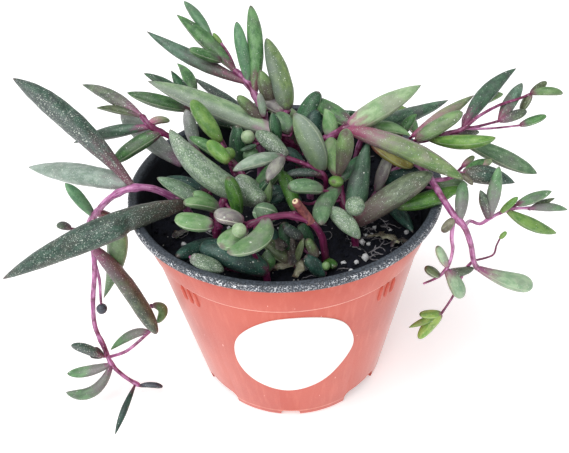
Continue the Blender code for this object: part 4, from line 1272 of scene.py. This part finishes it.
def arch_cutter(name, angle_degrees, size):
    """A solid arch that reaches through the wall's lower edge at an azimuth."""
    width, height, rounding = size
    half = width / 2
    outline = [(-half, -2.0)]
    for side in (-1, 1):
        for k in range(7):
            turn = math.pi / 2 * k / 6
            if side < 0:
                turn = math.pi - turn
            else:
                turn = math.pi / 2 - turn
            outline.append((side * (half - rounding) + rounding * math.cos(turn),
                            height - rounding + rounding * math.sin(turn)))
    outline.append((half, -2.0))
    angle = math.radians(angle_degrees)
    outward = around(1, angle)
    sideways = UP.cross(outward)
    near = BASE_RADIUS + CUT_OUTSIDE - CUT_DEPTH
    builder = bmesh.new()
    rings = []
    for reach in (near, near + CUT_DEPTH):
        rings.append([builder.verts.new((outward * reach + sideways * across + UP * up) * MM)
                      for across, up in outline])
    bridge(builder, rings[0], rings[1])
    for ring in rings:
        builder.faces.new(ring)
    return new_object(name, new_mesh(name, builder))


def cut_pot(pot):
    """Cuts the drainage arches and foot notches, and leaves a plain mesh without modifiers."""
    cutters = []
    for kind, angles, size in (("arch", ARCH_ANGLES, ARCH_SIZE), ("notch", NOTCH_ANGLES, NOTCH_SIZE)):
        for angle in angles:
            cutter = arch_cutter(f"{kind}_{angle}", angle, size)
            cut = pot.modifiers.new(cutter.name, "BOOLEAN")
            cut.operation = "DIFFERENCE"
            cut.solver = "EXACT"
            cut.object = cutter
            cutters.append(cutter)
    bpy.context.view_layer.update()
    cut_mesh = bpy.data.meshes.new_from_object(pot.evaluated_get(bpy.context.evaluated_depsgraph_get()))
    pot.modifiers.clear()
    pot.data = cut_mesh
    pot.data.set_sharp_from_angle(angle=math.radians(35))
    for cutter in cutters:
        bpy.data.objects.remove(cutter, do_unlink=True)


def make_pot(finishes):
    _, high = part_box("pot")
    rim_radius = high[0] / MM
    pot_height = high[2] / MM
    lip_bottom = pot_height - LIP_HEIGHT
    foot_inner = BASE_RADIUS - FOOT_WIDTH
    under_step = STEP_HEIGHT - STEP_RISE
    floor_top = FLOOR_RAISE + WALL
    outside = soften((
        (0, 0, 0), (PAD_RADIUS, 0, 0.6), (PAD_RADIUS + UNDERSIDE_SLOPE, FLOOR_RAISE, 0.8),
        (foot_inner - UNDERSIDE_SLOPE, FLOOR_RAISE, 0.8), (foot_inner, 0, 0.6), (BASE_RADIUS, 0, 1.0),
        (wall_radius(under_step), under_step, 0.25), (STEP_RADIUS, STEP_HEIGHT, 0.5),
        (rim_radius - LIP_OVERHANG, lip_bottom - 0.1, 0.3)))
    inside = soften((
        (rim_radius - LIP_OVERHANG, lip_bottom, 0), (rim_radius, lip_bottom, 0.9),
        (rim_radius, pot_height, 1.0), (rim_radius - RIM_WIDTH, pot_height, 0.9),
        (rim_radius - RIM_WIDTH - 0.6, lip_bottom - 0.6, 0.6), (STEP_RADIUS - WALL, STEP_HEIGHT + 0.5, 0.3),
        (wall_radius(under_step) - WALL, under_step, 0.3),
        (wall_radius(floor_top) - WALL, floor_top, 1.2), (0, floor_top, 0)))
    builder = bmesh.new()
    turn_rings(builder, outside + inside, POT_SEGMENTS, len(outside) - 1)
    pot = add_piece("nursery_pot", builder, [finishes["terracotta"], finishes["rim"]],
                    "pot_plastic", "pot", 35)
    cut_pot(pot)


def make_ribs(finish):
    """Groups of three short upright ribs under the pot's step, sunk into the wall."""
    builder = bmesh.new()
    low, high = RIB_HEIGHTS
    for middle in RIB_GROUPS:
        for number in (-1, 0, 1):
            angle = math.radians(middle + number * RIB_STEP_DEGREES)
            outward = around(1, angle)
            centres = []
            for k in range(13):
                height = low + (high - low) * k / 12
                centres.append(outward * wall_radius(height) + UP * height)

            def section(i, turn):
                size = RIB_RADIUS * math.sqrt(max(1 - (abs(i - 6) / 6.2) ** 4, 0))
                return size * math.cos(turn), size * math.sin(turn)

            sweep(builder, centres, 12, section, lambda *_: None)
    add_piece("pot_ribs", builder, [finish], "pot_plastic")


def make_label(finish):
    """A thin sticker with a smooth pebble outline that follows the wall, as shrinking rings."""
    corners = [Vector(corner) for corner in LABEL_OUTLINE]
    middle = sum(corners, Vector((0, 0))) / len(corners)
    loop = corners[-1:] + corners + corners[:2]
    outline = [curve_point(loop, 1 + i / 10) for i in range(10 * len(corners))]
    builder = bmesh.new()
    sides = []
    for lift, shares in LABEL_RINGS:
        rings = []
        for share in shares:
            ring = []
            for corner in outline:
                azimuth, height = middle + (corner - middle) * share
                angle = math.radians(azimuth)
                place = around(wall_radius(height) + lift, angle, height)
                ring.append(builder.verts.new(place * MM))
            rings.append(ring)
        for outer, inner in zip(rings, rings[1:]):
            bridge(builder, outer, inner)
        centre = around(wall_radius(middle.y) + lift, math.radians(middle.x), middle.y)
        fan(builder, rings[-1], builder.verts.new(centre * MM))
        sides.append(rings[0])
    bridge(builder, sides[0], sides[1])
    add_piece("paper_label", builder, [finish], "label_paper", "label", 50)


def soil_height(x, y):
    """The soil's lumpy top, lower towards the pot's wall."""
    place = Vector((x, y, 0))
    lumps = noise.noise(place * 0.09) * 1.1 + noise.noise(place * 0.28) * 0.7
    crumbs = abs(noise.noise(place * 0.75)) * 0.9 + noise.noise(place * 1.7) * 0.22
    return SOIL_TOP - 0.4 + lumps + crumbs - 0.6 * smooth_share(36, 47, math.hypot(x, y))


def make_soil(finish):
    """The soil from the pot's floor up, with a lumpy top of shrinking rings."""
    bottom = FLOOR_RAISE + WALL + SOIL_GAP
    reach = STEP_RADIUS - WALL - SOIL_GAP
    angles = [math.tau * i / SOIL_SIDES for i in range(SOIL_SIDES)]
    builder = bmesh.new()
    rings = []
    for step in range(SOIL_RINGS):
        radius = reach * (1 - step / SOIL_RINGS)
        ring = []
        for angle in angles:
            x = radius * math.cos(angle)
            y = radius * math.sin(angle)
            ring.append(builder.verts.new(Vector((x, y, soil_height(x, y))) * MM))
        rings.append(ring)
    for outer, inner in zip(rings, rings[1:]):
        bridge(builder, outer, inner)
    fan(builder, rings[-1], builder.verts.new(Vector((0, 0, soil_height(0, 0))) * MM))
    narrow = STEP_HEIGHT - STEP_RISE
    below = rings[0]
    for height in (narrow, bottom):
        radius = wall_radius(height) - WALL - SOIL_GAP
        base = [builder.verts.new(around(radius, angle, height) * MM) for angle in angles]
        bridge(builder, below, base)
        below = base
    fan(builder, below, builder.verts.new(Vector((0, 0, bottom)) * MM))
    add_piece("potting_soil", builder, [finish], "potting_soil", "soil", 80)


def add_lump(builder, middle, radius, chance, stretch, rough):
    """One uneven grain with a random turn."""
    made = bmesh.ops.create_icosphere(builder, subdivisions=2, radius=1.0)["verts"]
    seed = chance.uniform(0, 500)
    heading = Matrix.Rotation(chance.uniform(0, math.tau), 3, "Z")
    turn = heading @ Matrix.Rotation(chance.uniform(-0.5, 0.5), 3, "X")
    for corner in made:
        place = corner.co.copy()
        size = radius * (1 + rough * noise.noise(place * 1.3 + Vector((seed, 0, 0))))
        place = turn @ Vector((place.x * stretch[0], place.y * stretch[1], place.z * stretch[2]))
        corner.co = (Vector(middle) + place * size) * MM


def scatter(chance, count, reach):
    """Places spread over the soil's top."""
    for _ in range(count):
        radius = reach * math.sqrt(chance.random())
        angle = chance.uniform(0, math.tau)
        x = radius * math.cos(angle)
        y = radius * math.sin(angle)
        yield x, y, soil_height(x, y)


def make_soil_grains(finishes):
    """Crumbs, bark, white grains and root fibres on the soil, one joined piece of each kind."""
    chance = random.Random("soil_grains")
    for name, kind in GRAIN_KINDS.items():
        finish, slot, sharp, count, reach, sizes, rise, lift, stretch, rough = kind
        builder = bmesh.new()
        for x, y, size in GRAINS if finish == "perlite" else ():
            place = (x, y, soil_height(x, y) + size * 0.5)
            add_lump(builder, place, size, chance, (1, 0.9, 0.85), rough)
        for x, y, z in scatter(chance, count, reach):
            size = chance.uniform(*sizes)
            add_lump(builder, (x, y, z + size * rise + lift), size, chance, stretch, rough)
        add_piece(name, builder, [finishes[finish]], slot, sharp=sharp)
    builder = bmesh.new()
    for x, y, z in scatter(chance, FIBRE_COUNT, FIBRE_REACH):
        add_fibre(builder, Vector((x, y, z + 0.2)), chance)
    for x, y, _ in scatter(chance, STRAW_COUNT, STRAW_REACH):
        x += STRAW_MIDDLE[0]
        y += STRAW_MIDDLE[1]
        add_fibre(builder, Vector((x, y, soil_height(x, y) + 0.3)), chance)
    add_piece("soil_fibres", builder, [finishes["fibre"]], "potting_soil")


def add_fibre(builder, start, chance):
    """A thin curved root fibre that lies on the soil."""
    heading = chance.uniform(0, math.tau)
    bend = chance.uniform(-0.35, 0.35)
    radius = chance.uniform(0.10, 0.22)
    centres = [start]
    for _ in range(chance.randint(5, 11)):
        heading += bend + chance.uniform(-0.3, 0.3)
        ahead = centres[-1] + around(1, heading) * 0.8
        ahead.z = soil_height(ahead.x, ahead.y) + radius + 0.15
        centres.append(ahead)
    last = len(centres) - 1

    def section(i, angle):
        size = radius * (1 if 0 < i < last else 0.5)
        return size * math.cos(angle), size * math.sin(angle)

    sweep(builder, centres, 6, section, lambda *_: None)


def make_floor():
    builder = bmesh.new()
    bmesh.ops.create_grid(builder, x_segments=8, y_segments=8, size=FLOOR_SIZE / 2 * MM)
    floor = new_object("studio_floor", new_mesh("studio_floor", builder))
    floor.data.materials.append(floor_material())
    floor.location.z = -0.2 * MM
    floor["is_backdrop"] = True


def make_camera():
    data = bpy.data.cameras.new("photo_camera")
    data.lens = CAMERA_LENS
    data.clip_start = 0.01
    camera = new_object("photo_camera", data)
    place = Vector(CAMERA_PLACE)
    aim = (Vector(CAMERA_AIM) - place).to_track_quat("-Z", "Y")
    roll = Matrix.Rotation(math.radians(CAMERA_ROLL), 3, "Z")
    camera.matrix_world = Matrix.Translation(place * MM) @ (aim.to_matrix() @ roll).to_4x4()
    bpy.context.scene.camera = camera


def add_glow():
    """A soft square light in front that faces the soil."""
    data = bpy.data.lights.new("front_glow", "AREA")
    data.size = GLOW_SIZE * MM
    data.energy = GLOW_POWER
    place = Vector(GLOW_PLACE)
    light = new_object("front_glow", data)
    light.location = place * MM
    light.rotation_euler = (UP * SOIL_TOP - place).to_track_quat("-Z", "Y").to_euler()


def add_sun():
    """A very soft, even light from one direction, as from a large bright window."""
    data = bpy.data.lights.new("window", "SUN")
    data.energy = SUN_STRENGTH
    data.angle = math.radians(SUN_SOFTNESS)
    light = new_object("window", data)
    light.rotation_euler = (-Vector(SUN_FROM)).to_track_quat("-Z", "Y").to_euler()


def make_studio():
    scene = bpy.context.scene
    world = bpy.data.worlds.new("studio")
    world.use_nodes = True
    background = world.node_tree.nodes["Background"]
    background.inputs["Color"].default_value = (1.0, 1.0, 1.0, 1.0)
    background.inputs["Strength"].default_value = WORLD_STRENGTH
    scene.world = world
    scene.view_settings.view_transform = "Standard"
    add_sun()
    add_glow()


def main():
    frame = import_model()
    cad_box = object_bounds()
    make_camera()
    make_floor()
    make_studio()
    nodes = frame["nodes"]
    finishes = {name: leaf_material(name, look) for name, look in LOOKS.items()}
    finishes |= {
        "stem": stem_material(),
        "terracotta": terracotta_material(),
        "rim": rim_material(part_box("pot")[1][0] / MM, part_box("pot")[1][2] / MM),
        "soil": soil_material(),
        "bark": grainy_material("bark_chips", (38, 28, 24), (96, 76, 60), 0.9, 0.9),
        "perlite": grainy_material("perlite_grains", (196, 198, 202), (240, 240, 240), 1.5, 0.8),
        "fibre": grainy_material("root_fibres", (84, 80, 86), (160, 156, 160), 0.6, 0.8),
        "stub": grainy_material("stub_skin", (96, 40, 48), (146, 84, 80), 0.8, 0.5),
        "cut": grainy_material("cut_face", (206, 176, 132), (240, 222, 190), 1.2, 0.6),
    }
    make_pot(finishes)
    make_ribs(finishes["terracotta"])
    make_label(paper_material())
    make_soil(finishes["soil"])
    make_soil_grains(finishes)
    routes = stem_routes()
    make_stems(routes, finishes["stem"], nodes)
    make_stalks(routes, finishes["stem"])
    make_stub(finishes)
    for stem, leaves in LEAVES.items():
        for name, leaf in leaves.items():
            make_leaf(name, routes[stem][3], leaf, finishes, nodes)
    for name, (middle, radius, look, _, _) in ROUND_LEAVES.items():
        make_round_leaf(name, middle, radius, look, finishes)
    make_debris(finishes)
    sizes = {"cad": cad_box, "visual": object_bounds()}
    {key: [list(corner) for corner in box] for key, box in sizes.items()}


main()
